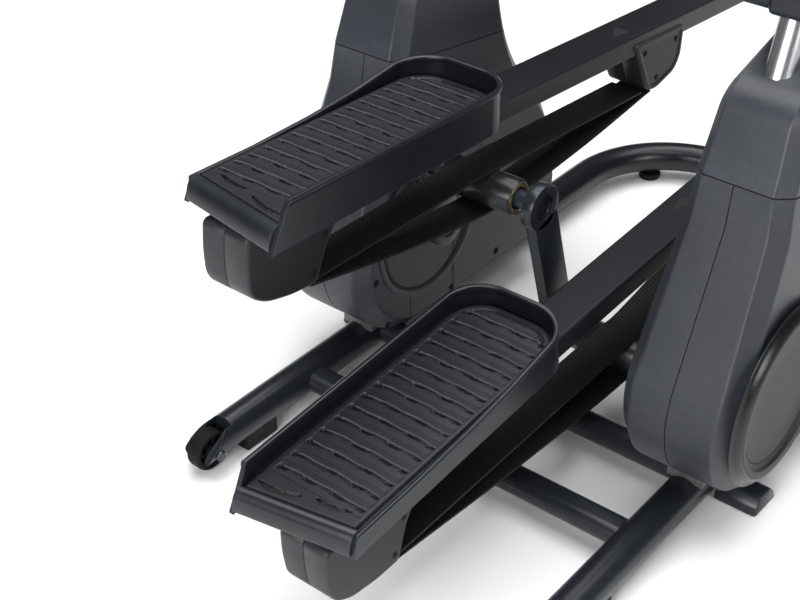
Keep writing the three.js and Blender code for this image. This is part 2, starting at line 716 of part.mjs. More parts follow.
function tray(inward) {
  const half = TRAY_WIDE / 2;
  const floorTop = TRAY_SKIRT + TRAY_FLOOR;
  const above = TRAY_TALL + 10;
  const outside = plate(trayOutline(inward, 0, 20), 0, TRAY_TALL, 6);
  const well = plate(trayOutline(inward, TRAY_WALL, 50), floorTop, above, 6);
  const underside = plate(trayOutline(inward, TRAY_WALL, -12), -5, TRAY_SKIRT, 6);
  const wallEnds = slab(polygon([[-80, -5], [0, -5], [TRAY_SLOPE, above], [-80, above]]), -half - 5, half + 5);
  const lip = slab(polygon([
    [-80, 5], [3, 5], [8, floorTop - 12], [20, floorTop - 3], [34, floorTop], [34, above], [-80, above],
  ]), -half + TRAY_WALL, half - TRAY_WALL);
  // the outer wall falls from the front corner to a low kerb
  const kerb = polygon([
    [-80, TRAY_LOW_WALL], [150, TRAY_LOW_WALL], [250, TRAY_LOW_WALL + 4],
    [340, TRAY_LOW_WALL + 12], [TRAY_LONG - TRAY_CORNER, TRAY_TALL - 7], [TRAY_LONG, TRAY_TALL],
    [TRAY_LONG, above], [-80, above],
  ]);
  const outerHalf = inward < 0 ? slab(kerb, 0, half + 5) : slab(kerb, -half - 5, 0);
  const shell = cut(outside, well, underside, skewed(wallEnds, inward), skewed(lip, inward), outerHalf);
  // two ribs under the floor stand on the beam
  const pitch = TRAY_PITCH * DEG;
  const beamTop = (y) => (BEAM_TALL / 2 + GAP - TRAY_DROP - y * Math.sin(pitch)) / Math.cos(pitch);
  const seats = [75, TRAY_LONG - 90].map((y) => (
    box(-20, 20, y - 15, y + 15, beamTop(y - 15), TRAY_SKIRT + 1)
  ));
  return join(shell, ...seats.map((seat) => seat.translate(inward * -TRAY_INWARD, 0, 0)));
}

function treadMat(inward) {
  const inset = TRAY_WALL + MAT_MARGIN;
  const bottom = TRAY_SKIRT + TRAY_FLOOR + GAP;
  const pad = plate(trayOutline(inward, inset, -44), bottom, bottom + MAT_THICK, 6);
  const half = TRAY_WIDE / 2 - inset - 8;
  const first = 76;
  const pitch = (TRAY_LONG - inset - 34 - first) / (RIB_COUNT - 1);
  const ribs = [];
  for (let i = 0; i < RIB_COUNT; i += 1) {
    const y = first + i * pitch;
    const top = bottom + MAT_THICK + RIB_TALL;
    ribs.push(box(-half, half, y - RIB_WIDE / 2, y + RIB_WIDE / 2, bottom + 1, top));
  }
  return join(pad, ...ribs);
}

// side outline of the rear cover, in the arm's frame
const REAR_COVER = [
  [-1346, 3], [-1352, -4], [-1352, -40], [-1347, -76], [-1337, -92], [-1313, -106], [-1265, -115],
  [-1220, -116], [-1215, -112], [-1197, -60], [-1171, -24], [-1171, 0], [-1185, 7],
];
// side outline of the bracket that holds the belts' front ends
const BELT_BRACKET = [
  [-438, 2], [-378, -92], [-350, -98], [-291, -80], [-276, -56], [-278, 2],
];

function halfCover(outline, wide, x0, x1) {
  return cut(slab(polygon(outline), x0 * wide, x1 * wide), beamClearance());
}

function coverHalves(outline, wide, inward) {
  const halfGap = GAP / 2 / wide;
  const low = halfCover(outline, wide, -0.5, -halfGap);
  const high = halfCover(outline, wide, halfGap, 0.5);
  return inward < 0 ? { inner: low, outer: high } : { inner: high, outer: low };
}

// a belt strip follows a smooth line of [along, height] points
function strip(points) {
  const line = new THREE.SplineCurve(points.map(([a, b]) => new THREE.Vector2(a, b)));
  const steps = 28;
  const upper = [];
  const under = [];
  for (let i = 0; i <= steps; i += 1) {
    const p = line.getPoint(i / steps);
    const t = line.getTangent(i / steps);
    const n = new THREE.Vector2(-t.y, t.x).multiplyScalar(BELT_THICK / 2);
    upper.push([p.x + n.x, p.y + n.y]);
    under.unshift([p.x - n.x, p.y - n.y]);
  }
  return slab(polygon([...upper, ...under]), -BELT_WIDE / 2, BELT_WIDE / 2);
}

// where the crank roller sits in an arm's frame
function rollerInArm(name) {
  const side = name === 'left' ? -1 : 1;
  const pin = crankPoint(side);
  const pivot = lowerPivot(name);
  const pitch = ARM_PITCH[name] * DEG;
  const dy = pin.y - pivot.y;
  const dz = pin.z - pivot.z;
  return [dy * Math.cos(pitch) + dz * Math.sin(pitch), -dy * Math.sin(pitch) + dz * Math.cos(pitch)];
}

const UPPER_ENDS = [[-1218, -118], [-380, -98]];
const LOWER_ENDS = [[-1218, -123.5], [-350, -103]];

function upperBelt(name) {
  const [along, height] = rollerInArm(name);
  const crest = height + ROLLER_R + BELT_THICK / 2 + GAP;
  const [rear, front] = UPPER_ENDS;
  const mix = (a, b, t) => [a[0] + (b[0] - a[0]) * t, a[1] + (b[1] - a[1]) * t];
  const top = [along, crest];
  const before = [along - 40, crest - 0.5];
  const after = [along + 40, crest - 0.5];
  return strip([rear, mix(rear, before, 0.33), mix(rear, before, 0.66), before, top, after,
    mix(after, front, 0.5), front]);
}

function lowerBelt(name) {
  const [along, height] = rollerInArm(name);
  const trough = height - ROLLER_R - BELT_THICK / 2 - 6;
  const [rear, front] = LOWER_ENDS;
  const mix = (a, b, t, sag) => [a[0] + (b[0] - a[0]) * t, a[1] + (b[1] - a[1]) * t - sag];
  const bottom = [along + 20, trough];
  return strip([rear, mix(rear, bottom, 0.5, 8), bottom, mix(bottom, front, 0.5, 8), front]);
}

for (const [name, side] of SIDES) {
  const inward = -side; // the sign of X towards the other arm
  const pivot = lowerPivot(name);
  const arm = new THREE.Group();
  arm.position.set(side * ARM_X, pivot.y, pivot.z);
  arm.rotation.x = ARM_PITCH[name] * DEG;
  machine.add(arm);
  add(arm, `pedal_beam_${name}`, beam(), armPaint());

  const plateGroup = new THREE.Group();
  plateGroup.position.set(inward * TRAY_INWARD, -TRAY_BACK, TRAY_DROP);
  plateGroup.rotation.x = TRAY_PITCH * DEG;
  arm.add(plateGroup);
  add(plateGroup, `footplate_tray_${name}`, tray(inward), armPaint());
  add(plateGroup, `tread_mat_${name}`, treadMat(inward), matRubber());

  const rear = coverHalves(REAR_COVER, COVER_WIDE, inward);
  add(arm, `rear_cover_inner_${name}`, rear.inner, grainedPlastic());
  add(arm, `rear_cover_outer_${name}`, rear.outer, grainedPlastic());
  const front = coverHalves(BELT_BRACKET, BRACKET_WIDE, inward);
  add(arm, `belt_bracket_inner_${name}`, front.inner, grainedPlastic());
  add(arm, `belt_bracket_outer_${name}`, front.outer, grainedPlastic());
  add(arm, `support_belt_upper_${name}`, upperBelt(name), beltRubber());
  add(arm, `support_belt_lower_${name}`, lowerBelt(name), beltRubber());
}

// ---------------------------------------------------------------- swing arms
// The lever is built as it stands on the left side, in a frame with its pivot at the origin,
// then turned to its own rest angle.
function leverPoint(y, z, x) {
  return new THREE.Vector3(x, y, z);
}

function swingLever(side) {
  const angle = SWING_REST.left * DEG;
  const foot = { y: SWING_R * Math.sin(angle), z: -SWING_R * Math.cos(angle) };
  const x = side * LEVER_X;
  const path = new THREE.CatmullRomCurve3([
    leverPoint(foot.y, foot.z, x),
    leverPoint(foot.y * 0.5, foot.z * 0.5, x),
    leverPoint(0, 0, x),
    leverPoint(-70, 140, x),
    leverPoint(-128, 275, side * (LEVER_X + LEVER_FLARE / 2)),
    leverTop(side),
  ]);
  const x0 = x - LEVER_BOSS_W / 2;
  const x1 = x + LEVER_BOSS_W / 2;
  const body = join(
    tubeAlong(new Route([[path, 14]]), LEVER_R, 10),
    barX(LEVER_BOSS_R, x0, x1, 0, 0, 28),
    barX(LEVER_BOSS_R - 4, x0, x1, foot.y, foot.z, 28),
  );
  return cut(
    body,
    barX(SHAFT_R + RUN, x0 - 5, x1 + 5, 0, 0, 24),
    barX(PIVOT_R + RUN, x0 - 5, x1 + 5, foot.y, foot.z, 24),
  );
}

function leverTop(side) {
  return leverPoint(LEVER_TOP.y, LEVER_TOP.z, side * (LEVER_X + LEVER_FLARE));
}

// the foam grip that carries on from the lever's upper end
function grip(side) {
  const high = leverTop(side);
  const along = new THREE.Vector3(side * 0.12, -0.36, 0.93).normalize();
  const start = high.clone().addScaledVector(along, LEVER_R * 0.5);
  const end = start.clone().addScaledVector(along, GRIP_LONG);
  return rod(start, end, GRIP_R, 16);
}

for (const [name, side] of SIDES) {
  const lever = new THREE.Group();
  lever.position.set(0, SWING_Y, SWING_Z);
  lever.rotation.x = (SWING_REST[name] - SWING_REST.left) * DEG;
  machine.add(lever);
  add(lever, `swing_arm_${name}`, swingLever(side), satinBlack());
  add(lever, `hand_grip_${name}`, grip(side), gripFoam());

  // pin that carries the pedal arm on the lever's lower end
  const pivot = lowerPivot(name);
  const outer = side * (LEVER_X + LEVER_BOSS_W / 2 + GAP);
  const inner = side * (ARM_X - BEAM_WIDE / 2 - GAP);
  const pin = join(
    barX(PIVOT_R, inner - side * 6, outer + side * 6, pivot.y, pivot.z, 16),
    barX(PIVOT_R + 6, outer, outer + side * 6, pivot.y, pivot.z, 16),
    barX(PIVOT_R + 6, inner - side * 6, inner, pivot.y, pivot.z, 16),
    barX(PIVOT_R + 8, side * (ARM_X + BEAM_WIDE / 2 + GAP), side * (LEVER_X - LEVER_BOSS_W / 2 - GAP),
      pivot.y, pivot.z, 16),
  );
  add(machine, `arm_pivot_pin_${name}`, pin, zincSteel());

  // bracket from the upright to the lever's shaft
  const collarY = uprightY(795);
  const collar = box(side * BASE_X - 32, side * BASE_X + 32, collarY - 36, collarY + 36, 760, 830);
  const armPlate = polygon([[collarY - 30, 762], [collarY + 20, 762], [SWING_Y - 10, SWING_Z - 34],
    [SWING_Y + 30, SWING_Z - 20], [SWING_Y + 36, SWING_Z + 12], [SWING_Y + 6, SWING_Z + 34], [collarY - 30, 828]]);
  const plateIn = side * (BASE_X - 75);
  const plateOut = side * (BASE_X - 31);
  const web3 = slab(armPlate, Math.min(plateIn, plateOut), Math.max(plateIn, plateOut));
  const shaft = barX(SHAFT_R, side * (LEVER_X - LEVER_BOSS_W / 2 - 8), side * (BASE_X - 65), SWING_Y, SWING_Z, 24);
  const bracket = cut(join(collar, web3, shaft), uprightClearance(side, GAP));
  add(machine, `swing_bracket_${name}`, bracket, satinBlack());
}

// ---------------------------------------------------------------- origin
const extent = new THREE.Box3().setFromObject(machine, true);
machine.position.y = -(extent.min.y + extent.max.y) / 2;

export default machine;
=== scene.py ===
# %% [markdown]
# An elliptical trainer, dressed for a studio view. The machine is loaded from its design model, with
# its joints. Everything below either gives one of its parts a finish, or builds a finer piece that
# stands in the same place and moves with the same body.

import json
import math

import bmesh
import bpy
from mathutils import Matrix, Vector


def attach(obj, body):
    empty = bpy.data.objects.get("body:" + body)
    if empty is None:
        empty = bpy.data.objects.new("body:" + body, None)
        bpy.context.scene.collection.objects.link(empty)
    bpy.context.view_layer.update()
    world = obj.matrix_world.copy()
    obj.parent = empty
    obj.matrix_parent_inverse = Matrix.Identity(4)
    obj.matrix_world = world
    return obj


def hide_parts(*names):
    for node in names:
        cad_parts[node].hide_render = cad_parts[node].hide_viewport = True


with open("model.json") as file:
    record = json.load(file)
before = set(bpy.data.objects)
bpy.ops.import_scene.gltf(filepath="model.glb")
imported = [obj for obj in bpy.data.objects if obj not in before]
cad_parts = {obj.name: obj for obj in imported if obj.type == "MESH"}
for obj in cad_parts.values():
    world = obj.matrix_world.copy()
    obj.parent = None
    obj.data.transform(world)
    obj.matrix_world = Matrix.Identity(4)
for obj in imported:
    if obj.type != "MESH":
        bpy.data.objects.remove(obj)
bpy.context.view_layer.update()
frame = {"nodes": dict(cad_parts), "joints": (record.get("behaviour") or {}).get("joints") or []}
joints = {joint["name"]: joint for joint in frame["joints"]}
MM = 0.001
CRANK_Y = joints["crank_turn"]["pos_m"][1]

# %% [markdown]
# The view is from behind the machine's right shoulder, looking down on the footplates. A camera needs
# a place, a heading and a lens. Its distance behind the machine is measured from the crank, which is
# in the middle, so it still fits if the model's origin moves forward or back. The long lens keeps the
# near footplate from looking much larger than the far one.

# %% Camera
EYE = Vector((1.0825, CRANK_Y - 1.7135, 1.5946))
HEADING = 38.82
LOOK_DOWN = 34.53
LENS = 70.18
camera_data = bpy.data.cameras.new("studio_camera")
camera_data.lens = LENS
camera_data.sensor_width = 36.0
camera_data.clip_end = 60.0
camera = bpy.data.objects.new("studio_camera", camera_data)
camera.location = EYE
camera.rotation_euler = (math.radians(90 - LOOK_DOWN), 0, math.radians(HEADING))
bpy.context.scene.collection.objects.link(camera)
bpy.context.scene.camera = camera
print("camera at", tuple(round(v, 3) for v in EYE))

# %% [markdown]
# A dark machine needs a floor so bright that it reads as white paper, and big soft lamps whose
# reflections draw its edges. One wide lamp overhead lights the floor and gives soft shadows under the
# tubes. Three more stand in for the studio's walls, and a faint sky keeps the undersides from black.

# %% Floor, lamps and sky
FLOOR_SIZE = 16.0
SKY_STRENGTH = 0.10


def flat_floor():
    mesh = bpy.data.meshes.new("studio_floor")
    half = FLOOR_SIZE / 2
    corners = [(-half, -half, 0), (half, -half, 0), (half, half, 0), (-half, half, 0)]
    mesh.from_pydata(corners, [], [(0, 1, 2, 3)])
    floor = bpy.data.objects.new("studio_floor", mesh)
    bpy.context.scene.collection.objects.link(floor)
    return floor


def area_lamp(name, place, target, size, power, spread=180):
    data = bpy.data.lights.new(name, "AREA")
    data.spread = math.radians(spread)
    data.shape = "RECTANGLE"
    data.size, data.size_y = size
    data.energy = power
    lamp = bpy.data.objects.new(name, data)
    lamp.location = place
    heading = Vector(target) - Vector(place)
    lamp.rotation_euler = heading.to_track_quat("-Z", "Y").to_euler()
    lamp.visible_camera = False
    bpy.context.scene.collection.objects.link(lamp)


floor = flat_floor()
area_lamp("overhead", (0.0, 0.3, 4.2), (0, 0, 0), (4.5, 4.5), 330)
area_lamp("left_wall", (-3.4, -0.8, 2.4), (0, 0, 0.5), (3.0, 2.6), 8)
area_lamp("rear_wall", (0.5, -3.2, 1.5), (0.1, 0, 0.4), (1.8, 1.5), 84)
area_lamp("right_wall", (2.4, -0.4, 1.2), (0.4, 0.0, 0.4), (0.9, 0.9), 4, spread=70)

world = bpy.data.worlds.new("studio_sky")
world.use_nodes = True
sky = world.node_tree.nodes["Background"]
sky.inputs["Color"].default_value = (1, 1, 1, 1)
sky.inputs["Strength"].default_value = SKY_STRENGTH
bpy.context.scene.world = world
bpy.context.scene.view_settings.view_transform = "Standard"

# %% [markdown]
# Shader maths reads best as ordinary sums. This class wraps one output of a shader node: adding or
# multiplying it makes the Math node for us. Every other kind of node comes from its method `node`,
# which takes the node's type, its settings and what goes into its sockets. The short methods below it
# are the few steps that every finish takes: mix two colours, widen a contrast, spread a noise over
# the surface, raise a bump, and plug the result into the shader.

# %% A wire between shader nodes


class Wire:
    def __init__(self, tree, socket=None):
        self.tree = tree
        self.socket = socket

    def node(self, kind, settings, inputs, output=0):
        made = self.tree.nodes.new("ShaderNode" + kind)
        for name, value in settings.items():
            if name == "stops":
                for stop, (place, tone) in zip(made.color_ramp.elements, value):
                    stop.position = place
                    stop.color = (tone, tone, tone, 1)
            else:
                setattr(made, name, value)
        for name, value in inputs.items():
            if isinstance(value, Wire):
                self.tree.links.new(value.socket, made.inputs[name])
            else:
                made.inputs[name].default_value = value
        return Wire(self.tree, made.outputs[output])

    def sum(self, operation, first, second):
        return self.node("Math", {"operation": operation}, {0: first, 1: second})

    def __add__(self, other):
        return self.sum("ADD", self, other)

    def __radd__(self, other):
        return self.sum("ADD", other, self)

    def __sub__(self, other):
        return self.sum("SUBTRACT", self, other)

    def __rsub__(self, other):
        return self.sum("SUBTRACT", other, self)

    def __mul__(self, other):
        return self.sum("MULTIPLY", self, other)

    def __rmul__(self, other):
        return self.sum("MULTIPLY", other, self)

    def mix(self, low, high):
        """The colour `low` where the wire is 0, and `high` where it is 1."""
        return self.node("Mix", {"data_type": "RGBA"}, {"Factor": self, 6: low, 7: high}, output=2)

    def window(self, low, high):
        """Stretches the values between `low` and `high` to the whole range from 0 to 1."""
        return self.node("ValToRGB", {"stops": ((low, 0.0), (high, 1.0))}, {"Fac": self})

    def place(self):
        """The point's own place on the object, in metres."""
        return self.node("TexCoord", {}, {}, output=3)

    def noise(self, size_mm, detail=3.0, stretch=(1, 1, 1)):
        spread = self.node("Mapping", {"vector_type": "POINT"}, {"Vector": self.place(), "Scale": stretch})
        grain = {"Vector": spread, "Scale": 1000 / size_mm, "Detail": detail, "Roughness": 0.55}
        return self.node("TexNoise", {}, grain)

    def bump(self, strength, depth_mm):
        return self.node("Bump", {}, {"Strength": strength, "Distance": depth_mm * MM, "Height": self})

    def into(self, shader, socket):
        self.tree.links.new(self.socket, shader.inputs[socket])


def grey_blue(tone, blue=0.12):
    return (tone, tone * (1 + blue * 0.4), tone * (1 + blue), 1)


print("wire ready, a mid tone is", grey_blue(0.03))

# %% [markdown]
# Nearly every surface here is the same recipe with different numbers: a dark tone that drifts a
# little from place to place, a moulded or sprayed grain that bumps the surface, edges painted a shade
# lighter as rubbed wear and a painted highlight, and a gloss that varies with the grain. Writing it
# once keeps the finishes related, as they are on a real machine that is built from a few families of parts.

# %% The recipe for one finish
FLAT_EDGE, SHARP_EDGE = 0.505, 0.56


def blank_finish(name):
    """A new material, and its shader."""
    material = bpy.data.materials.new(name)
    material.use_nodes = True
    return material, material.node_tree.nodes["Principled BSDF"]


def new_finish(name, tone, gloss, grain_mm, depth_mm, blue=0.12, rub=0.6, drift=0.18, **uniform):
    material, shader = blank_finish(name)
    start = Wire(material.node_tree)
    cloud = start.noise(70, detail=4)
    grain = start.noise(grain_mm, detail=2)
    pointiness = start.node("NewGeometry", {}, {}, output=7)
    # Sharp edges are painted lighter: partly rubbed wear, partly a painted highlight.
    worn_and_highlit_edges = pointiness.window(FLAT_EDGE, SHARP_EDGE) * rub * start.noise(9, detail=3)
    body = cloud.mix(grey_blue(tone * (1 - drift), blue), grey_blue(tone * (1 + drift), blue))
    highlighted = grey_blue(min(1.0, tone * 2.6 + 0.02), blue)
    worn_and_highlit_edges.mix(body, highlighted).into(shader, "Base Color")
    roughness = gloss + 0.10 * (grain - 0.5) + 0.08 * (cloud - 0.5)
    roughness.into(shader, "Roughness")
    grain.bump(0.6, depth_mm).into(shader, "Normal")
    for socket, value in uniform.items():
        shader.inputs[socket.replace("_", " ")].default_value = value
    return material


def shine(level):
    """How strongly the bare surface reflects, beside its gloss."""
    return {"Specular_IOR_Level": level}


RECIPES = {
    "frame_paint": dict(tone=0.006, gloss=0.29, grain_mm=1.6, depth_mm=0.05, blue=0.6, **shine(0.36)),
    "arm_paint": dict(tone=0.006, gloss=0.38, grain_mm=1.4, depth_mm=0.05, blue=0.5, **shine(0.28)),
    "tray_paint": dict(tone=0.005, gloss=0.30, grain_mm=1.3, depth_mm=0.06, blue=0.6, **shine(0.38)),
    "housing_plastic": dict(tone=0.019, gloss=0.42, grain_mm=1.1, depth_mm=0.16, blue=0.35, **shine(0.35)),
    "cap_plastic": dict(tone=0.019, gloss=0.38, grain_mm=1.3, depth_mm=0.08, blue=0.4, **shine(0.35)),
    "disc_plastic": dict(tone=0.011, gloss=0.50, grain_mm=1.2, depth_mm=0.10, blue=0.2, **shine(0.28)),
    "cover_plastic": dict(tone=0.012, gloss=0.46, grain_mm=1.2, depth_mm=0.14, blue=0.25, **shine(0.3)),
    "foot_rubber": dict(tone=0.003, gloss=0.60, grain_mm=1.8, depth_mm=0.12, blue=0.1, **shine(0.12)),
    "roller_plastic": dict(tone=0.003, gloss=0.28, grain_mm=1.6, depth_mm=0.04, blue=0.2, **shine(0.35)),
    "grip_foam": dict(tone=0.008, gloss=0.82, grain_mm=2.2, depth_mm=0.55, blue=0.05, rub=0.2, **shine(0.25)),
    "pulley_iron": dict(tone=0.10, gloss=0.48, grain_mm=1.8, depth_mm=0.20, blue=0.04, Metallic=0.7),
    "screen_glass": dict(tone=0.006, gloss=0.09, grain_mm=60, depth_mm=0.01, blue=0.3, rub=0.0),
    # The next finish is near black paint for gaps, grooves and holes: painted shade.
    "gap_shade": dict(tone=0.004, gloss=0.8, grain_mm=2.0, depth_mm=0.02, rub=0.0),
}
finishes = {name: new_finish(name, **recipe) for name, recipe in RECIPES.items()}
print("finishes", len(finishes))

# %% [markdown]
# Some finishes need more than the common recipe. The belts are woven and rubbered, so fine slanting
# ribs cross them. The steel uprights are brushed, so their scratches run along the tube. The bearing
# rings inside the rollers are yellow-passivated steel with a little tarnish, and the wheel bolts are
# the same recipe in blackened steel.

# %% Finishes with a direction


def ribbed_belt():
    material = new_finish("belt_rubber", 0.014, 0.60, 2.0, 0.05, blue=-0.25, rub=0.5, **shine(0.3))
    shader = material.node_tree.nodes["Principled BSDF"]
    start = Wire(material.node_tree)
    slant = start.node("Mapping", {}, {"Vector": start.place(), "Rotation": (0, 0, math.radians(24))})
    ribs = start.node("TexWave", {"bands_direction": "Y", "wave_profile": "SIN"},
                      {"Vector": slant, "Scale": 52, "Distortion": 0.25, "Detail": 1.0}, output=1)
    rib_height = ribs * 0.8 + 0.2 * start.noise(3)
    rib_height.bump(0.8, 0.7).into(shader, "Normal")
    # The rib valleys are painted darker and the crowns lighter: painted shade and painted highlight that
    # follow the bump.
    valley_shade, crown_highlight = (0.003, 0.003, 0.003, 1), (0.013, 0.012, 0.011, 1)
    rib_height.window(0.25, 0.9).mix(valley_shade, crown_highlight).into(shader, "Base Color")
    return material


def brushed_metal(name, colour, dull):
    material, shader = blank_finish(name)
    shader.inputs["Metallic"].default_value = 1.0
    start = Wire(material.node_tree)
    scratch = start.noise(3, detail=4, stretch=(1, 0.06, 0.04))
    tarnish = start.noise(30, detail=4)
    tarnish.mix(tuple(0.72 * c for c in colour) + (1,), colour + (1,)).into(shader, "Base Color")
    (dull + 0.22 * (scratch - 0.5)).into(shader, "Roughness")
    scratch.bump(0.35, 0.06).into(shader, "Normal")
    return material


finishes["belt_rubber"] = ribbed_belt()
for name, colour, dull in (("bare_steel", (0.62, 0.63, 0.65), 0.30),
                           ("bearing_gold", (0.52, 0.43, 0.24), 0.34),
                           ("dark_steel", (0.10, 0.10, 0.11), 0.42)):
    finishes[name] = brushed_metal(name, colour, dull)
print("finishes", len(finishes))

# %% [markdown]
# The mat's grooves are painted dark, as dust and painted shade, and its crests get a painted highlight.
# The mesh that is built later stores how much of each a point has, and this finish reads those two marks.

# %% Rubber of the tread mat


def tread_rubber():
    material = new_finish("mat_rubber", 0.0075, 0.47, 1.7, 0.10, blue=0.55, rub=0.3, **shine(0.3))
    shader = material.node_tree.nodes["Principled BSDF"]
    start = Wire(material.node_tree)
    plain = Wire(material.node_tree, shader.inputs["Base Color"].links[0].from_socket)
    crest = start.node("Attribute", {"attribute_name": "crest"}, {}, output=2)
    groove = start.node("Attribute", {"attribute_name": "groove"}, {}, output=2)
    # Crests get a painted highlight; grooves, slots and crescents are painted near black, partly dust and
    # partly painted shade.
    highlighted = (crest * 0.9).mix(plain, (0.095, 0.105, 0.128, 1))
    (groove * 0.9).mix(highlighted, (0.0012, 0.0012, 0.0015, 1)).into(shader, "Base Color")
    return material


finishes["mat_rubber"] = tread_rubber()
print("finishes", len(finishes))

# %% [markdown]
# The floor is seamless studio paper. A trace of fibre keeps it from being a flat colour, far too faint
# to be seen as a pattern.

# %% Paper for the floor
paper = new_finish("paper", 0.86, 0.85, 6.0, 0.02, blue=0.0, rub=0.0, drift=0.01)
floor.data.materials.append(paper)
print("floor finish", paper.name)

# %% [markdown]
# A side outline is the quickest way to a moulded shape. Two helpers prepare it: one rounds its corners,
# as every moulding and bent plate has them, and one moves it inwards, which is how a flat side turns
# into a chamfer or a radius.

# %% Outlines


def soften(points, radius, steps=4):
    """Rounds each corner of a closed outline."""
    result = []
    points = [Vector(p) for p in points]
    for before, here, after in zip(points[-1:] + points[:-1], points, points[1:] + points[:1]):
        back, ahead = before - here, after - here
        reach = min(radius, 0.45 * back.length, 0.45 * ahead.length)
        first, last = here + back.normalized() * reach, here + ahead.normalized() * reach
        for i in range(steps + 1):
            t = i / steps
            result.append(first * (1 - t) ** 2 + here * (2 * t * (1 - t)) + last * t ** 2)
    return result


def inset(outline, depth):
    """Moves a closed outline inwards."""
    rim = list(zip(outline, outline[1:] + outline[:1]))
    area = sum(a.x * b.y - b.x * a.y for a, b in rim)
    turn = 1 if area > 0 else -1
    inner = []
    for before, here, after in zip(outline[-1:] + outline[:-1], outline, outline[1:] + outline[:1]):
        one, two = (here - before).normalized(), (after - here).normalized()
        in_one, in_two = Vector((-one.y, one.x)) * turn, Vector((-two.y, two.x)) * turn
        inner.append(here + (in_one + in_two) * (depth / max(0.4, 1 + in_one.dot(in_two))))
    return inner


print("a softened square has", len(soften([(0, 0), (9, 0), (9, 9), (0, 9)], 2)), "points")

# %% [markdown]
# Most pieces of the machine are one of four shapes: a side outline built up in layers, a profile turned
# round an axis, a section swept along a route, or a grid of heights. The first three are all rings of
# corners joined by quads. Each helper returns corners and faces in millimetres, so that parts can be
# moved, mirrored and put together before they become an object.

# %% Parts from rings


def rings_to_part(rings, closed_run=False):
    """Joins rings of equal length with quads, and caps the two ends of an open run."""
    count = len(rings[0])
    corners = [corner for ring in rings for corner in ring]
    faces = []
    last = len(rings) if closed_run else len(rings) - 1
    for i in range(last):
        a, b = i * count, (i + 1) % len(rings) * count
        faces += [(a + k, a + (k + 1) % count, b + (k + 1) % count, b + k) for k in range(count)]
    if not closed_run:
        faces += [tuple(range(count)), tuple(range(len(corners) - count, len(corners)))]
    return corners, faces


def layers(outline, stations):
    """A side outline (y, z) built up along X; each station is (x, inset)."""
    return rings_to_part([[Vector((x, p.x, p.y)) for p in inset(outline, depth)] for x, depth in stations])


def turned(profile, x, y, z, sides=48, closed=False):
    """A profile of (radius, along) turned about an axis parallel to X."""
    rings = [[Vector((x + along, y + u, z + v)) for u, v in round_section(radius, sides)]
             for radius, along in profile]
    return rings_to_part(rings, closed_run=closed)


def round_section(radius, sides):
    """The points of a circle."""
    angles = [2 * math.pi * k / sides for k in range(sides)]
    return [(radius * math.cos(a), radius * math.sin(a)) for a in angles]


def swept(route, section, up=(0, 0, 1)):
    """A section carried along a route of points."""
    rings = []
    side = None
    for i, point in enumerate(route):
        ahead = (route[min(i + 1, len(route) - 1)] - route[max(i - 1, 0)]).normalized()
        if side is None:
            side = ahead.cross(Vector(up)).normalized()
        side = (side - ahead * side.dot(ahead)).normalized()
        rise = side.cross(ahead)
        rings.append([point + side * u + rise * v for u, v in section])
    return rings_to_part(rings)


def moved(part, matrix):
    return [matrix @ corner for corner in part[0]], part[1]


def mirrored(part, side):
    """A part drawn for the right side: as it is for side 1, and seen in a mirror for side -1."""
    return [Vector((side * corner.x, corner.y, corner.z)) for corner in part[0]], part[1]


def together(parts):
    """Several parts as one."""
    corners, faces = [], []
    for more_corners, more_faces in parts:
        faces += [tuple(index + len(corners) for index in face) for face in more_faces]
        corners += more_corners
    return corners, faces


print("a turned pin has", len(turned([(0, 0), (5, 0), (5, 20), (0, 20)], 0, 0, 0, 24)[0]), "corners")

# %% [markdown]
# One function makes every piece, so that all of them are treated alike. It welds doubled corners,
# points the faces outwards, shades the piece smooth, and then either rounds its edges with a bevel or
# marks the sharp ones. Last it gives the piece its finish, hides the parts of the design model that it
# stands in for, and hangs it on the body it rides on.

# %% Build one piece
MACHINE = Matrix.Translation((0, CRANK_Y, 0)) @ Matrix.Scale(MM, 4)
SIDES = (("left", -1), ("right", 1))
built = {}


def round_edges(piece, width, crease):
    """A narrow bevel along each edge that turns by more than `crease` degrees."""
    rounding = piece.modifiers.new("rounding", "BEVEL")
    rounding.width = width * MM
    rounding.segments = 2
    rounding.limit_method = "ANGLE"
    rounding.angle_limit = math.radians(crease)
    piece.modifiers.new("flatten", "WEIGHTED_NORMAL").keep_sharp = True


def build(name, part, body, slot, stands_for=(), place=MACHINE, bevel=0.0, finish=None, crease=32):
    mesh = bpy.data.meshes.new(name)
    mesh.from_pydata([tuple(place @ corner) for corner in part[0]], [], part[1])
    work = bmesh.new()
    work.from_mesh(mesh)
    bmesh.ops.remove_doubles(work, verts=work.verts, dist=2e-6)
    bmesh.ops.recalc_face_normals(work, faces=work.faces)
    work.to_mesh(mesh)
    work.free()
    mesh.polygons.foreach_set("use_smooth", [True] * len(mesh.polygons))
    piece = bpy.data.objects.new(name, mesh)
    bpy.context.scene.collection.objects.link(piece)
    if bevel:
        round_edges(piece, bevel, crease)
    else:
        mesh.set_sharp_from_angle(angle=math.radians(crease))
    mesh.materials.append(finishes[finish or slot])
    if stands_for:
        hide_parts(*stands_for)
    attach(piece, body)
    built[name] = len(mesh.polygons)
    return piece


print("machine origin", tuple(round(v, 4) for v in MACHINE.translation))

# %% [markdown]
# The base is one bent tube that runs round the front, with the wheels let into its rear ends. A bent
# tube is drawn by sweeping a circle along its centre line: real bending gives exactly that shape. The
# rear ends are cut open, so only two curved cheeks hold each wheel.

# %% Base tube
BASE_X, BASE_Z, TUBE_R, BASE_FRONT, CORNER_R = 315, 46, 28.5, 819, 210
BASE_REAR, WHEEL_Y, WHEEL_Z, WHEEL_R = -475, -452, 37, 33
TUBE_REAR, CHEEK_FRONT, WHEEL_SLOT = -414, -412, 17


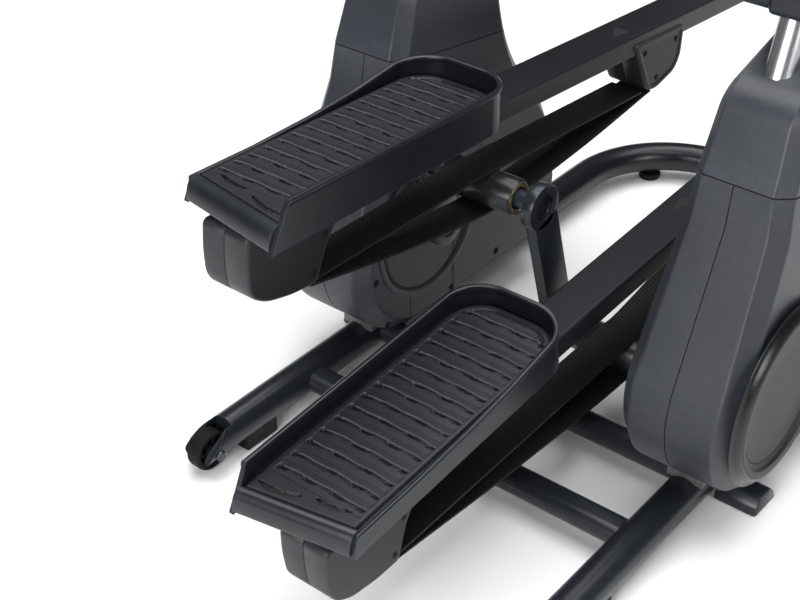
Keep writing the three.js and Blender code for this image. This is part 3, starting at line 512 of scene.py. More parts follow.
def base_route():
    bend_y = BASE_FRONT - CORNER_R
    straight = (TUBE_REAR, -200, 100, 400, bend_y - 40)
    run = [Vector((-BASE_X, y, BASE_Z)) for y in straight]
    for side, start in ((-1, 180), (1, 90)):
        for i in range(25):
            a = math.radians(start - i * 90 / 24)
            middle = side * (BASE_X - CORNER_R)
            run.append(Vector((middle + CORNER_R * math.cos(a), bend_y + CORNER_R * math.sin(a), BASE_Z)))
    return run + [Vector((BASE_X, y, BASE_Z)) for y in reversed(straight)]


def wheel_cheek(x, outward):
    """The curved side of the tube that is left beside a wheel, cut back at a slant."""
    span = math.acos(WHEEL_SLOT / TUBE_R)
    angles = [-span + 2 * span * i / 16 for i in range(17)]
    section = [(outward * TUBE_R * math.cos(a), TUBE_R * math.sin(a)) for a in angles]
    section += [(outward * WHEEL_SLOT, TUBE_R * math.sin(a)) for a in (span * 0.5, 0, -span * 0.5)]
    front = [Vector((x + u, CHEEK_FRONT, BASE_Z + v)) for u, v in section]
    rear = [Vector((x + u, BASE_REAR + max(0, v + 8) * 1.5, BASE_Z + v)) for u, v in section]
    return rings_to_part([front, rear])


cheeks = [wheel_cheek(side * BASE_X, outward) for _, side in SIDES for outward in (-1, 1)]
loop = swept(base_route(), round_section(TUBE_R, 48))
build("base_tube", together([loop] + cheeks), "frame", "frame_paint", ("base_loop_tube",), bevel=1.2)
print("base tube faces", built["base_tube"])

# %% [markdown]
# Two bars are welded across the base. The front one is a round tube, and the rear one is pressed to a
# flat oval, so that it clears the pedals. Both are the same sweep with another section, and each end
# stops just inside the wall of the base tube, where the weld would be.

# %% Crossbars
BAR_END = BASE_X - 23


def oval_section(wide, tall):
    """Two half circles of radius tall / 2, joined by flats."""
    points = []
    for middle, start in (((wide - tall) / 2, -90), ((tall - wide) / 2, 90)):
        for i in range(17):
            a = math.radians(start + i * 180 / 16)
            points.append((middle + tall / 2 * math.cos(a), tall / 2 * math.sin(a)))
    return points


for name, y, section in (("front_crossbar", -43, round_section(22, 40)),
                         ("rear_crossbar", -221, oval_section(50, 34))):
    route = [Vector((x, y, BASE_Z)) for x in (-BAR_END, -100, 100, BAR_END)]
    build(name + "_bar", swept(route, section), "frame", "frame_paint", (name,), bevel=0.8)
print("base pieces", len(built))

# %% [markdown]
# What touches the floor is rubber or cast. Each rear end rolls on a small wheel with spokes, so the
# machine can be tipped and moved. Turning the rim and hub and adding spokes as thin slabs keeps the
# wheel open, as the moulded one is.

# %% Wheels, axle bolts and feet


def both_ends(profile):
    """A profile of (radius, along) up to its middle, followed by its own mirror image."""
    return profile + [(radius, -along) for radius, along in reversed(profile)]


def wheel(x):
    rim = both_ends([(24, -11), (WHEEL_R - 4, -14), (WHEEL_R - 1, -12), (WHEEL_R, -8)])
    hub = both_ends([(6.5, -13), (11, -13), (12.5, -11)])
    parts = [turned(rim, x, WHEEL_Y, WHEEL_Z, closed=True), turned(hub, x, WHEEL_Y, WHEEL_Z, 32, closed=True)]
    spoke = [Vector(p) for p in ((11, -2.6), (25, -3.4), (25, 3.4), (11, 2.6))]
    for i in range(6):
        about = Matrix.Translation((0, WHEEL_Y, WHEEL_Z)) @ Matrix.Rotation(math.radians(60 * i), 4, "X")
        parts.append(moved(layers(spoke, [(x - 8, 0), (x + 8, 0)]), about))
    return together(parts)


for name, side in SIDES:
    x = side * BASE_X
    build(f"wheel_{name}", wheel(x), f"wheel_{name}", "foot_rubber", (f"transport_wheel_{name}",), bevel=0.7)
    bolt = both_ends([(0, -33.8), (6, -33.8), (8.2, -32.2), (9, -28.9), (6, -28.9)])
    build(f"wheel_bolt_{name}", turned(bolt, x, WHEEL_Y, WHEEL_Z, 32), "frame", "bare_steel",
          (f"wheel_axle_{name}",), bevel=0.3, finish="dark_steel")

    block = soften([(-388, 0.5), (-318, 0.5), (-318, 33), (-388, 33)], 4)
    across = ((-24, 2.5), (-22, 0.4), (-21, 0), (21, 0), (22, 0.4), (24, 2.5))
    stations = [(x + u, depth) for u, depth in across]
    build(f"rear_foot_block_{name}", layers(block, stations), "frame", "foot_rubber", (f"rear_foot_{name}",))

    bend = math.radians(45)
    foot_x = side * (BASE_X - CORNER_R + CORNER_R * math.cos(bend))
    foot_y = BASE_FRONT - CORNER_R + CORNER_R * math.sin(bend)
    puck = [(0, 0), (17, 0), (20, 1), (22, 4), (22, 10), (20.5, 13), (17, 14.2), (10.5, 14.6), (10, 17),
            (0, 17)]
    upright = Matrix.Translation((foot_x, foot_y, 0)) @ Matrix.Rotation(math.radians(-90), 4, "Y")
    build(f"front_foot_pad_{name}", moved(turned(puck, 0, 0, 0, 36), upright), "frame", "foot_rubber",
          (f"front_foot_{name}",), bevel=0.4)

    wing = soften([(-26, 0.4), (40, 0.4), (34, 16), (20, 29.5), (-10, 29.5), (-22, 16)], 5)
    near, far = x + side * 20, x + side * 91
    stations = [(near, 2), (near + side * 4, 0), (far - side * 5, 0), (far - side * 1.5, 1.2), (far, 4)]
    build(f"outrigger_{name}", layers(wing, stations), "frame", "frame_paint", (f"outrigger_foot_{name}",))
print("pieces so far", len(built))

# %% [markdown]
# Each tower hides half of the drive. The real one is two moulded shells that meet on a seam, with a
# separate cap on top and a chamfer all round. The whole tower is built as one stack of outlines first
# and then cut along the same planes, so the shells line up as mouldings from one tool do. The cut
# edges get a small rounding, which is what makes a seam visible.

# %% Tower outline
HOUSE_X, HOUSE_HALF, BEVEL, SEAM_X = BASE_X + 7, 90, 24, BASE_X
HOUSE_FOOT = 74.8
LOBE_Y, LOBE_Z, LOBE_R = -22, HOUSE_FOOT + 152, 152
WAIST_Z, CAP_Z, CAP_REAR_Y = 330, 561, -64


def curve(a, control, b):
    """A bend from a to b that aims at the control point between them, without a itself."""
    a, control, b = Vector(a), Vector(control), Vector(b)
    places = [i / 10 for i in range(1, 11)]
    return [a * (1 - t) ** 2 + control * (2 * t * (1 - t)) + b * t ** 2 for t in places]


def tower_outline():
    lobe = []
    for i in range(33):
        a = math.radians(-90 - i * (114 / 32))
        lobe.append(Vector((LOBE_Y + LOBE_R * math.cos(a), LOBE_Z + LOBE_R * math.sin(a))))
    run = lobe + [Vector((-72, 500)), Vector((-63, CAP_Z)), Vector((-50, 600)), Vector((-36, 642))]
    run += curve((-36, 642), (-26, 676), (12, 688)) + curve((134, 724), (190, 736), (203, 680))
    run += curve((219, 578), (232, 470), (292, 402)) + curve((292, 402), (368, 330), (383, 190))
    run += curve((383, 140), (376, HOUSE_FOOT), (320, HOUSE_FOOT))
    return run + [Vector((200, HOUSE_FOOT)), Vector((90, HOUSE_FOOT))]


def taper(x, side, z):
    """Draws a tower's x towards its seam above the waist: a fifth narrower at the foot of the cap."""
    rise = min(1.6, max(0.0, (z - WAIST_Z) / (CAP_Z - WAIST_Z)))
    return side * SEAM_X + (x - side * SEAM_X) * (1 - 0.2 * rise)


def tower_skin(side, depth=0.0):
    """The skin of one tower, with a firm chamfer between its faces; `depth` is how far it lies inside."""
    chamfer = [(0.0, BEVEL + 3.5), (0.8, BEVEL + 0.6), (2.8, BEVEL - 2.8), (BEVEL - 2.8, 2.8),
               (BEVEL - 0.6, 0.8), (BEVEL + 3.5, 0.0)]
    stations = [(side * (HOUSE_X - HOUSE_HALF + d + depth), i + depth) for d, i in chamfer]
    stations += [(side * (HOUSE_X + HOUSE_HALF - d - depth), i + depth) for d, i in reversed(chamfer)]
    corners, faces = layers(tower_outline(), stations)
    return [Vector((taper(c.x, side, c.z), c.y, c.z)) for c in corners], faces


print("tower outline has", len(tower_outline()), "points")

# %% [markdown]
# The cuts follow two planes: the seam halfway through the tower, and the slightly sloping foot of the
# cap. Each shell stops a little short of its plane, and a dark skin just inside shows through the gap
# as the shadow between two mouldings. The shells get a wall thickness, so they are hollow as the real
# ones are.

# %% Cut the tower into shells and a cap
SEAM_GAP, CAP_GAP = 0.7, 1
CAP_UP, CAP_DOWN = (0, 0.139, 0.990), (0, -0.139, -0.990)


def cut_piece(piece, cuts):
    """Keeps what lies on the positive side of each plane, given as (point, direction) in millimetres."""
    work = bmesh.new()
    work.from_mesh(piece.data)
    for point, direction in cuts:
        everything = work.verts[:] + work.edges[:] + work.faces[:]
        bmesh.ops.bisect_plane(work, geom=everything, dist=1e-7, plane_co=MACHINE @ Vector(point),
                               plane_no=Vector(direction), clear_inner=True)
    work.to_mesh(piece.data)
    work.free()
    piece.data.polygons.foreach_set("use_smooth", [True] * len(piece.data.polygons))


def tower_piece(name, body_slot, side, cuts, stands_for):
    piece = build(name, tower_skin(side), "frame", body_slot, stands_for)
    cut_piece(piece, cuts)
    wall = piece.modifiers.new("wall", "SOLIDIFY")
    wall.thickness = 3.4 * MM
    wall.offset = -1
    round_edges(piece, 0.9, 50)


def cap_plane(rise, direction):
    """A cut along the foot of the cap, moved up by `rise`."""
    return (0, CAP_REAR_Y, CAP_Z + rise), direction


def seam_plane(side, shift, toward):
    """A cut along the seam, moved outwards by `shift`; toward is 1 to keep what lies outside it."""
    return (side * (SEAM_X + shift), 0, 0), (toward * side, 0, 0)


for name, side in SIDES:
    below = cap_plane(-CAP_GAP, CAP_DOWN)
    for kind, toward in (("inner", -1), ("outer", 1)):
        tower_piece(f"shell_{kind}_{name}", "housing_plastic", side,
                    [seam_plane(side, toward * SEAM_GAP, toward), below], (f"housing_{kind}_shell_{name}",))
    tower_piece(f"tower_cap_{name}", "cap_plastic", side, [cap_plane(CAP_GAP, CAP_UP)],
                (f"housing_top_cap_{name}",))
    for kind, cuts in (("cap", [cap_plane(-5, CAP_UP), cap_plane(5, CAP_DOWN)]),
                       ("seam", [seam_plane(side, -2, 1), seam_plane(side, 2, -1), below])):
        joint = build(f"{kind}_joint_{name}", tower_skin(side, 2.2), "frame", "housing_plastic",
                      finish="gap_shade")
        cut_piece(joint, cuts)
print("towers done, pieces", len(built))

# %% [markdown]
# A clip-on disc closes the outside of each tower: a raised rim, a step and a shallow dish. It is a
# turned shape with fine steps, and a thin dark ring on it is painted shade for a groove. Small
# countersunk screws hold the shells together, and they are what the eye uses to judge how large the
# moulding is; the recess round each head is painted dark as painted shade. The inner side has a low
# ring, a dark ring and thin panel lines; the dark ring and the lines are dark strips of painted shade.

# %% Disc covers and shell screws
DISC_Y, DISC_Z = -27, 242
RING_Y, RING_Z = -2, 262
PANEL_LINES = ((-52, 96, 150), (64, 96, 205), (64, 330, 420))
SHELL_SCREWS = ((-112, 120), (-140, 215), (-128, 320), (60, 104), (190, 112), (268, 240), (150, 330),
                (72, 470), (152, 470), (-20, 520))


def small_screw(x, y, z, outward, radius=5.2):
    """A countersunk recess painted dark as painted shade, with a dark domed screw head inside it."""
    cup = [(0, 0.1), (radius, 0.1), (radius + 1.2, 0.5), (radius + 0.4, 0.9), (radius - 0.6, 0.3),
           (radius - 1.2, 0.6), (radius * 0.5, 1.2), (0, 1.3)]
    return turned([(r, outward * along) for r, along in cup], x, y, z, 24)


def inner_face(side, z):
    """The x of a tower's inner face at a height."""
    return taper(side * (HOUSE_X - HOUSE_HALF), side, z)


def disc_ring(profile, side, closed=True):
    face = HOUSE_X + HOUSE_HALF + 0.3
    return mirrored(turned(profile, face, DISC_Y, DISC_Z, 96, closed), side)


def lobe_ring(profile, side):
    """A ring on the tower's inner face, whose profile rises towards the middle of the machine."""
    rising = [(radius, -rise) for radius, rise in profile]
    return mirrored(turned(rising, HOUSE_X - HOUSE_HALF, RING_Y, RING_Z, 96, closed=True), side)


def panel_line(side, y, low, high):
    strip = [Vector(p) for p in ((y - 0.8, low), (y + 0.8, low), (y + 0.8, high), (y - 0.8, high))]
    x = inner_face(side, high)
    return layers(strip, [(x, 0), (x - side * 0.4, 0)])


for name, side in SIDES:
    dish = [(0, 4.2), (60, 4.0), (104, 4.6), (112, 6.2), (114.5, 8.4), (116, 11.2), (118.5, 12), (124, 12),
            (127, 11.3), (131, 7.5), (136, 2.4), (138, 1.2), (138, 0), (0, 0)]
    band = [(126.6, 11.5), (131.2, 7.6), (136.2, 2.5), (138.3, 1.2), (138.3, 0.1), (144, 0.1), (143, 1.2),
            (139, 2.4), (136.6, 5.2), (132, 10.2), (128, 12)]
    groove = [(105, 4.4), (105, 5.1), (107.4, 5.4), (107.4, 4.6)]
    build(f"disc_{name}", disc_ring(dish, side, closed=False), "frame", "disc_plastic",
          (f"side_disc_cover_{name}",), crease=40)
    build(f"disc_band_{name}", disc_ring(band, side), "frame", "disc_plastic", finish="roller_plastic",
          crease=40)
    # The groove ring is a thin dark ring of painted shade, not a cut groove.
    build(f"disc_groove_{name}", disc_ring(groove, side), "frame", "disc_plastic", finish="gap_shade")

    raised = lobe_ring([(119, 0), (122, 0.8), (126, 0.8), (129, 0)], side)
    build(f"lobe_ring_{name}", raised, "frame", "housing_plastic", crease=40)
    # The dark ring and the panel lines are dark strips on the face: painted shade of grooves.
    dark_ring = lobe_ring([(112, 0), (112.5, 0.5), (117, 0.5), (117.5, 0)], side)
    lines = [panel_line(side, *line) for line in PANEL_LINES]
    build(f"shell_lines_{name}", together([dark_ring] + lines), "frame", "housing_plastic", finish="gap_shade")
    screws = [small_screw(inner_face(side, z), y, z, -side) for y, z in SHELL_SCREWS]
    build(f"shell_screws_{name}", together(screws), "frame", "foot_rubber")
print("pieces", len(built))

# %% [markdown]
# Each upright is a brushed steel tube that leans forward and bends inwards to the console. It could be
# a modelled curve object, but sweeping a circle along worked-out points keeps its lean a named value.

# %% Curves through points


def smooth_run(points, steps):
    """A Catmull-Rom curve through the points."""
    points = [Vector(p) for p in points]
    run = []
    ends = [points[0] * 2 - points[1]] + points + [points[-1] * 2 - points[-2]]
    for i in range(1, len(ends) - 2):
        a, b, c, d = ends[i - 1:i + 3]
        for k in range(steps):
            t = k / steps
            run.append((b * 2 + (c - a) * t + (a * 2 - b * 5 + c * 4 - d) * t * t
                        + (b * 3 - a - c * 3 + d) * t ** 3) * 0.5)
    return run + [points[-1]]


LEAN = math.tan(math.radians(18.2))
UPRIGHT_TOP, CAP_EXIT_Z, CAP_EXIT_Y = 1512, 713, 39


def upright_y(z):
    """An upright leaves its cap at CAP_EXIT and leans forward from there."""
    return CAP_EXIT_Y + (z - CAP_EXIT_Z) * LEAN


def upright_route(side):
    run = [Vector((side * BASE_X, upright_y(z), z)) for z in (262, 700, 1100, 1400)]
    bend, inner, end = [Vector((side * x, upright_y(UPRIGHT_TOP), UPRIGHT_TOP)) for x in (BASE_X, 205, 165.5)]
    start = run[-1]
    for i in range(1, 15):
        t = i / 14
        run.append(start * (1 - t) ** 2 + bend * (2 * t * (1 - t)) + inner * t ** 2)
    return run + [end]


for name, side in SIDES:
    build(f"upright_{name}", swept(upright_route(side), round_section(21, 40), up=(1, 0, 0)), "frame",
          "bare_steel", (f"upright_tube_{name}",), bevel=0.8)
print("uprights lean", round(math.degrees(math.atan(LEAN)), 1))

# %% [markdown]
# The swing levers are painted tubes. Each hangs from a bracket on its upright, carries a pedal arm on a
# pin at its lower end, and has a foam grip at its upper end. The lever's route is a smooth curve
# through both pivots, drawn once about the upper one and then turned to where that side rests.

# %% Shapes of the swing levers and grips
SWING_Y, SWING_Z, SWING_R = 300, 760, 560
SWING_REST = {"left": 57.2, "right": 39.1}
LEVER_X = 205
GRIP_START = Vector((231, -186, 410))
GRIP_RINGS = ((8.5, 17), (10, 20), (14, 21), (30, 21), (90, 20.4), (150, 21), (184, 21), (190, 20), (193, 17),
              (194.5, 11))


def lever_foot(angle):
    """The lower pivot as seen from the upper one, at an angle from hanging straight down."""
    return Vector((0, SWING_R * math.sin(math.radians(angle)), -SWING_R * math.cos(math.radians(angle))))


def lever_shape():
    foot = lever_foot(SWING_REST["left"])
    points = [(LEVER_X, foot.y, foot.z), (LEVER_X, foot.y / 2, foot.z / 2), (LEVER_X, 0, 0),
              (LEVER_X, -70, 140), (218, -128, 275), GRIP_START]
    parts = [swept(smooth_run(points, 12), round_section(17, 32), up=(1, 0, 0))]
    for y, z, radius in ((0, 0, 30), (foot.y, foot.z, 26)):
        boss = both_ends([(14.6, -17), (radius - 2, -17), (radius, -15)])
        parts.append(turned(boss, LEVER_X, y, z, 48, closed=True))
    return together(parts)


def grip_shape():
    along = Vector((0.12, -0.36, 0.93)).normalized()
    aside = along.cross(Vector((1, 0, 0))).normalized()
    rise = aside.cross(along)
    rings = []
    for way, radius in GRIP_RINGS:
        centre = GRIP_START + along * way
        rings.append([centre + aside * u + rise * v for u, v in round_section(radius, 36)])
    return rings_to_part(rings)


print("lower pivot of the left lever", tuple(round(v) for v in lever_foot(SWING_REST["left"])))

# %% [markdown]
# A bracket clamps each upright and reaches forward to the shaft that the lever swings on. At the
# lever's foot a steel pin carries the pedal arm, with a head on one side and a nut on the other. The
# pin is its own body, because it turns a little as the lever swings. With these shapes at hand, all
# four pieces of each side are built together.

# %% Levers, grips, pins and brackets


def pin_shape(y, z):
    """A lower pivot pin: a head, a sleeve and a nut on one shaft."""
    head = [(0, 70.8), (15, 70.8), (18, 72.5), (18, 76.6), (12, 76.7)]
    sleeve = [(12, 147.4), (20, 147.4), (20, 187.6), (12, 187.7)]
    nut = [(12, 222.3), (18, 222.3), (18, 226), (15, 228.2), (6, 228.2), (5, 226.5), (0, 226.5)]
    return turned(head + sleeve + nut, 0, y, z, 40)


def bracket_shape():
    """A clamp round the upright, a web that reaches forward, and the shaft that a lever swings on."""
    y = upright_y(795)
    web = soften([(y - 30, 762), (y + 20, 762), (290, 726), (330, 740), (336, 772), (306, 794),
                  (y - 30, 828)], 14)
    clamp = soften([(y - 36, 760), (y + 36, 760), (y + 36, 830), (y - 36, 830)], 10)
    shaft = [(0, 180), (12, 180), (14, 182), (14, 250), (0, 250)]
    return together([layers(web, [(240, 4), (243, 0.6), (245, 0), (284, 0)]),
                     layers(clamp, [(283, 5), (286, 1), (290, 0), (340, 0), (344, 1), (347, 5)]),
                     turned(shaft, 0, SWING_Y, SWING_Z, 40)])


for name, side in SIDES:
    turn = math.radians(SWING_REST[name] - SWING_REST["left"])
    place = MACHINE @ Matrix.Translation((0, SWING_Y, SWING_Z)) @ Matrix.Rotation(turn, 4, "X")
    build(f"lever_{name}", mirrored(lever_shape(), side), f"swing_{name}", "frame_paint",
          (f"swing_arm_{name}",), place, bevel=0.8)
    build(f"grip_{name}", mirrored(grip_shape(), side), f"swing_{name}", "grip_foam", (f"hand_grip_{name}",),
          place)
    foot = lever_foot(SWING_REST[name])
    pin = mirrored(pin_shape(SWING_Y + foot.y, SWING_Z + foot.z), side)
    build(f"pivot_pin_{name}", pin, f"pivot_{name}", "bare_steel", (f"arm_pivot_pin_{name}",), bevel=0.5)
    build(f"bracket_{name}", mirrored(bracket_shape(), side), "frame", "frame_paint",
          (f"swing_bracket_{name}",), bevel=0.8)
print("pieces", len(built))

# %% [markdown]
# The crank is three forged webs with round bosses, joined by the crankpins and carried by a journal on
# each side. Each boss has a sunk cap over the crankpin's bolt. Turned profiles give the bosses their
# small radii, and the flat bar between two bosses is one more stack of outlines.

# %% Crank webs
CRANK_Z, CRANK_R, CRANK_LEAN = 272, 132, math.radians(16.8)
OUTER_WEB_X, WEB_THICK, WEB_HALF, BOSS_R = 194, 20, 28.5, 37
JOURNAL_END = {"left": 299.8, "right": 362.8}


def crank_pin(side):
    return Vector((0, side * CRANK_R * math.sin(CRANK_LEAN), CRANK_Z - side * CRANK_R * math.cos(CRANK_LEAN)))


def web(middle, start, end):
    """A flat bar between two round bosses; `middle` is the web's x."""
    half = WEB_THICK / 2
    along = (end - start).normalized()
    across = Vector((0, -along.z, along.y)) * WEB_HALF
    first, last = start + along * 22, end - along * 22
    bar = [Vector((p.y, p.z)) for p in (first + across, last + across, last - across, first - across)]
    near_edge = [(2.2, -half), (0.6, 0.7 - half), (0, 2.4 - half)]
    parts = [layers(bar, [(middle + x, depth) for depth, x in both_ends(near_edge)])]
    sunk_cap = [(0, 3.5), (15, 3.5), (16.5, 2), (20, 2)]
    rim = [(21.5, 0), (34, 0), (BOSS_R - 0.8, 0.8), (BOSS_R, 2.6)]
    boss = both_ends([(radius, depth - half) for radius, depth in sunk_cap + rim])
    return together(parts + [turned(boss, middle, p.y, p.z, 56) for p in (start, end)])


centre = Vector((0, 0, CRANK_Z))
parts = [web(0, crank_pin(-1), crank_pin(1))]
for name, side in SIDES:
    pin = crank_pin(side)
    end = JOURNAL_END[name]
    pin_rod = turned([(0, 6), (15, 6), (15, 200), (0, 200)], 0, pin.y, pin.z, 40)
    journal = turned([(0, 206), (19, 206), (19, end - 1), (18, end), (0, end)], 0, 0, CRANK_Z, 40)
    parts.append(web(side * (OUTER_WEB_X + WEB_THICK / 2), centre, pin))
    parts += [mirrored(pin_rod, side), mirrored(journal, side)]
build("crank_forging", together(parts), "crank", "frame_paint", ("crankshaft",), crease=40)
print("crank faces", built["crank_forging"])

# %% [markdown]
# The rollers between the webs carry the belts, so the pedal arms ride on them. Each is a plastic sleeve
# with a ring of yellow-passivated bearing showing at either end. Both are turned profiles, and they
# ride on the roller's own body, so they spin while the crank carries them round.

# %% Rollers with bearing rings
ROLLER_X, ROLLER_R, ROLLER_HALF = 101, 29, 64
SLEEVE = ((21, 4), (26, 0.5), (27.5, 0), (ROLLER_R, 2))
RING = ((17.5, 5), (18.5, 1), (20.4, 0.4), (21.4, 1.4), (22.6, 1.2), (23.6, -0.3), (25.4, -0.3), (26, 0.4),
        (22, 6))


for name, side in SIDES:
    pin = crank_pin(side)
    sleeve = both_ends([(radius, depth - ROLLER_HALF) for radius, depth in SLEEVE])
    build(f"roller_{name}", turned(sleeve, side * ROLLER_X, pin.y, pin.z, 64, closed=True), f"roller_{name}",
          "roller_plastic", (f"crank_roller_{name}",), crease=40)
    rings = [turned([(radius, end * (ROLLER_HALF - depth)) for radius, depth in RING], side * ROLLER_X, pin.y,
                    pin.z, 56, closed=True) for end in (-1, 1)]
    build(f"roller_ring_{name}", together(rings), f"roller_{name}", "bare_steel", finish="bearing_gold",
          crease=40)
print("pieces", len(built))

# %% [markdown]
# Each pedal arm is a flat rectangular tube on a front barrel. The finer pieces on it are all drawn in
# the arm's own frame, with Y along the beam from its pivot. The left arm is the right one seen in a
# mirror, so one set of shapes serves both: the frame of the left arm simply flips X.

# %% Frames of the arms and footplates
ARM_PITCH = {"left": -5.0, "right": 2.3}
PLATE_PITCH = math.radians(1.75)
PLATE_ORIGIN = (-12, -1361, 8.8)
ARM, PLATE = {}, {}
for name, side in SIDES:
    pivot = Matrix.Translation(Vector(joints[f"arm_{name}_hinge"]["pos_m"]))
    turn = Matrix.Rotation(math.radians(ARM_PITCH[name]), 4, "X")
    ARM[name] = pivot @ turn @ Matrix.Scale(MM, 4) @ Matrix.Diagonal((side, 1, 1, 1))
    PLATE[name] = ARM[name] @ Matrix.Translation(PLATE_ORIGIN) @ Matrix.Rotation(PLATE_PITCH, 4, "X")
print("left pivot", tuple(round(v, 3) for v in ARM["left"].translation))

# %% [markdown]
# The beam is a rectangular steel tube with rounded corners, welded to a barrel that turns on the swing
# lever's pin. A rounded rectangle swept along a straight line is enough for it. The small hole in its
# top is a thin dark piece that lies flush, painted shade in place of a hole, because cutting a real one
# would add nothing to be seen.

# %% Beams
BEAM_HALF_WIDE, BEAM_HALF_TALL = 35, 19


def beam_shape():
    wide, tall = BEAM_HALF_WIDE, BEAM_HALF_TALL
    section = [(p.x, p.y) for p in soften([(-wide, -tall), (wide, -tall), (wide, tall), (-wide, tall)], 6, 5)]
    run = [Vector((0, y, 0)) for y in (-1322, -1000, -600, -300, -4)]
    barrel = both_ends([(12.6, -34.8), (22, -34.8), (25, -32.5)])
    return together([swept(run, section), turned(barrel, 0, 0, 0, 56, closed=True)])


def beam_slot():
    """A three-sided hole in the top of the beam, where a catch could pass, drawn as a flush sheet of painted
    shade.
    """
    hole = soften([(-470, -12), (-425, -16), (-425, 14)], 8)
    return rings_to_part([[Vector((p.y, p.x, BEAM_HALF_TALL + lift)) for p in hole] for lift in (-0.5, 0.05)])


for name, side in SIDES:
    build(f"beam_{name}", beam_shape(), f"arm_{name}", "arm_paint", (f"pedal_beam_{name}",), ARM[name],
          bevel=0.5)
    build(f"beam_slot_{name}", beam_slot(), f"arm_{name}", "arm_paint", place=ARM[name], finish="gap_shade")
print("pieces", len(built))

# %% [markdown]
# The footplate is the part a foot meets, and the part nearest the eye. It is a moulded tray: a tall
# inner wall, a low outer kerb that sweeps up to the front, a rounded bead along the whole rim, flat
# fins where the walls end, and a rolled rear lip. A wall of changing height is easiest as one section
# swept round the plan outline, with its height worked out afresh at every step.

# %% Wall of the footplate
TRAY_HALF, NOSE_R, NOSE_Y, REAR_SKEW = 90, 62, 430, 15 / 90
NOSE_X = TRAY_HALF - NOSE_R
WALL_HIGH, KERB_LOW, KERB_FRONT, WALL_THICK = 66, 34, 59, 6.5
KERB_RISE = ((-20, KERB_LOW), (140, KERB_LOW), (250, 38.5), (340, 46), (NOSE_Y, KERB_FRONT))
WALL_REAR = ((-13.5, 33.5, 9), (8, 14, 8.4), (34, 3, 7.4), (60, 0, 6.6), (200, 0, WALL_THICK),
             (340, 0, WALL_THICK))
KERB_REAR = ((45, 2, 7.2), (30, 8, 8), (17, 11, 8.6))


def kerb_height(y):
    for (y0, h0), (y1, h1) in zip(KERB_RISE, KERB_RISE[1:]):
        if y <= y1:
            return h0 + (h1 - h0) * (y - y0) / (y1 - y0)
    return KERB_FRONT


def wall_stations():
    """(x, y, outward direction, height, slant of the end, thickness)"""
    run = [(-TRAY_HALF, y, (-1, 0), WALL_HIGH, slant, thick) for y, slant, thick in WALL_REAR]
    for side, start in ((-1, 180), (1, 90)):
        for i in range(17):
            a = math.radians(start - i * 90 / 16)
            nx, ny = math.cos(a), math.sin(a)
            height = WALL_HIGH if side < 0 else WALL_HIGH - (WALL_HIGH - KERB_FRONT) * i / 16
            run.append((side * NOSE_X + NOSE_R * nx, NOSE_Y + NOSE_R * ny, (nx, ny), height, 0, WALL_THICK))
    run += [(TRAY_HALF, y, (1, 0), kerb_height(y), 0, WALL_THICK) for y in range(415, 60, -15)]
    return run + [(TRAY_HALF, y, (1, 0), KERB_LOW, slant, thick) for y, slant, thick in KERB_REAR]


def wall_section(h, thick):
    """(distance from the outer face, z) up the outside, over the rim bead and down the inside."""
    outside = [(0.8, 0.6), (0.2, 3), (1.4, h * 0.45), (2.2, h - 8.5), (0.9, h - 6.8), (0.2, h - 4.2)]
    bead = [(0.8, h - 1.6), (2.6, h - 0.1), (6.0, h - 0.1), (7.8, h - 1.5), (8.4, h - 4.2), (7.9, h - 6.8)]
    return outside + bead + [(thick, h - 8.6), (thick, h * 0.4), (thick, 3), (thick - 0.6, 0.6)]


def tray_wall():
    rings = []
    for x, y, (nx, ny), height, slant, thick in wall_stations():
        rings.append([Vector((x - nx * n, y - ny * n + slant * z / height, z))
                      for n, z in wall_section(height, thick)])
    return rings_to_part(rings)


print("wall stations", len(wall_stations()))

# %% [markdown]
# The rest of the tray is simpler. The floor is a flat plate with a rounded nose. The rear lip is rolled
# up from it and runs aslant, because a foot comes on from the rear and the outside. Two ribs below the
# floor seat it on the beam, cut at the beam's slope so that they touch it all along.

# %% Floor, lip and seats of the footplate


def half_width(y, half, radius, middle):
    """Half the width of a plate with a rounded nose, at one place along it."""
    return half if y < NOSE_Y else middle + math.sqrt(max(0.0, radius ** 2 - (y - NOSE_Y) ** 2))


def tray_floor():
    rings = []
    for y in [48, 200, 340] + list(range(425, 487, 5)):
        half = half_width(y, 84, 56.5, NOSE_X)
        rings.append([Vector((x, y, z)) for x, z in ((-half, 25), (half, 25), (half, 30), (-half, 30))])
    return rings_to_part(rings)


def tray_lip():
    roll = [(54, 24), (54, 29.9), (24, 30), (22.6, 34), (20.5, 35.6), (17, 36.1), (12, 34.6), (7.5, 31),
            (4, 25), (1.8, 16), (1.2, 8), (1.8, 5), (4, 4.4), (6, 9), (9, 18), (20, 24)]
    corners, faces = layers([Vector(p) for p in roll], [(x, 0) for x in (-83.4, -60, -30, 0, 30, 60, 83.4)])
    return [Vector((c.x, c.y + REAR_SKEW * c.x, c.z)) for c in corners], faces


def tray_seats():
    """Two ribs under the floor that rest on the beam."""
    parts = []
    for y in (75, 402):
        low = BEAM_HALF_TALL + 0.4 - PLATE_ORIGIN[2] - y * math.tan(PLATE_PITCH)
        outline = [Vector(p) for p in ((y - 15, low + 0.4), (y + 15, low - 0.4), (y + 15, 26), (y - 15, 26))]
        parts.append(layers(outline, [(-8, 0), (32, 0)]))
    return together(parts)


for name, side in SIDES:
    tray = together([tray_wall(), tray_floor(), tray_lip(), tray_seats()])
    build(f"tray_{name}", tray, f"arm_{name}", "arm_paint", (f"footplate_tray_{name}",), PLATE[name],
          bevel=0.5, finish="tray_paint", crease=38)
print("tray faces", built["tray_right"])

# %% [markdown]
# The mat is soft rubber with fifteen wandering grooves across it. Each groove has a raised edge on its
# front side and short deep slots at staggered places, which let water through. Such relief could be a
# displacement texture, but a grid of heights holds up in every view and casts its own shadows.

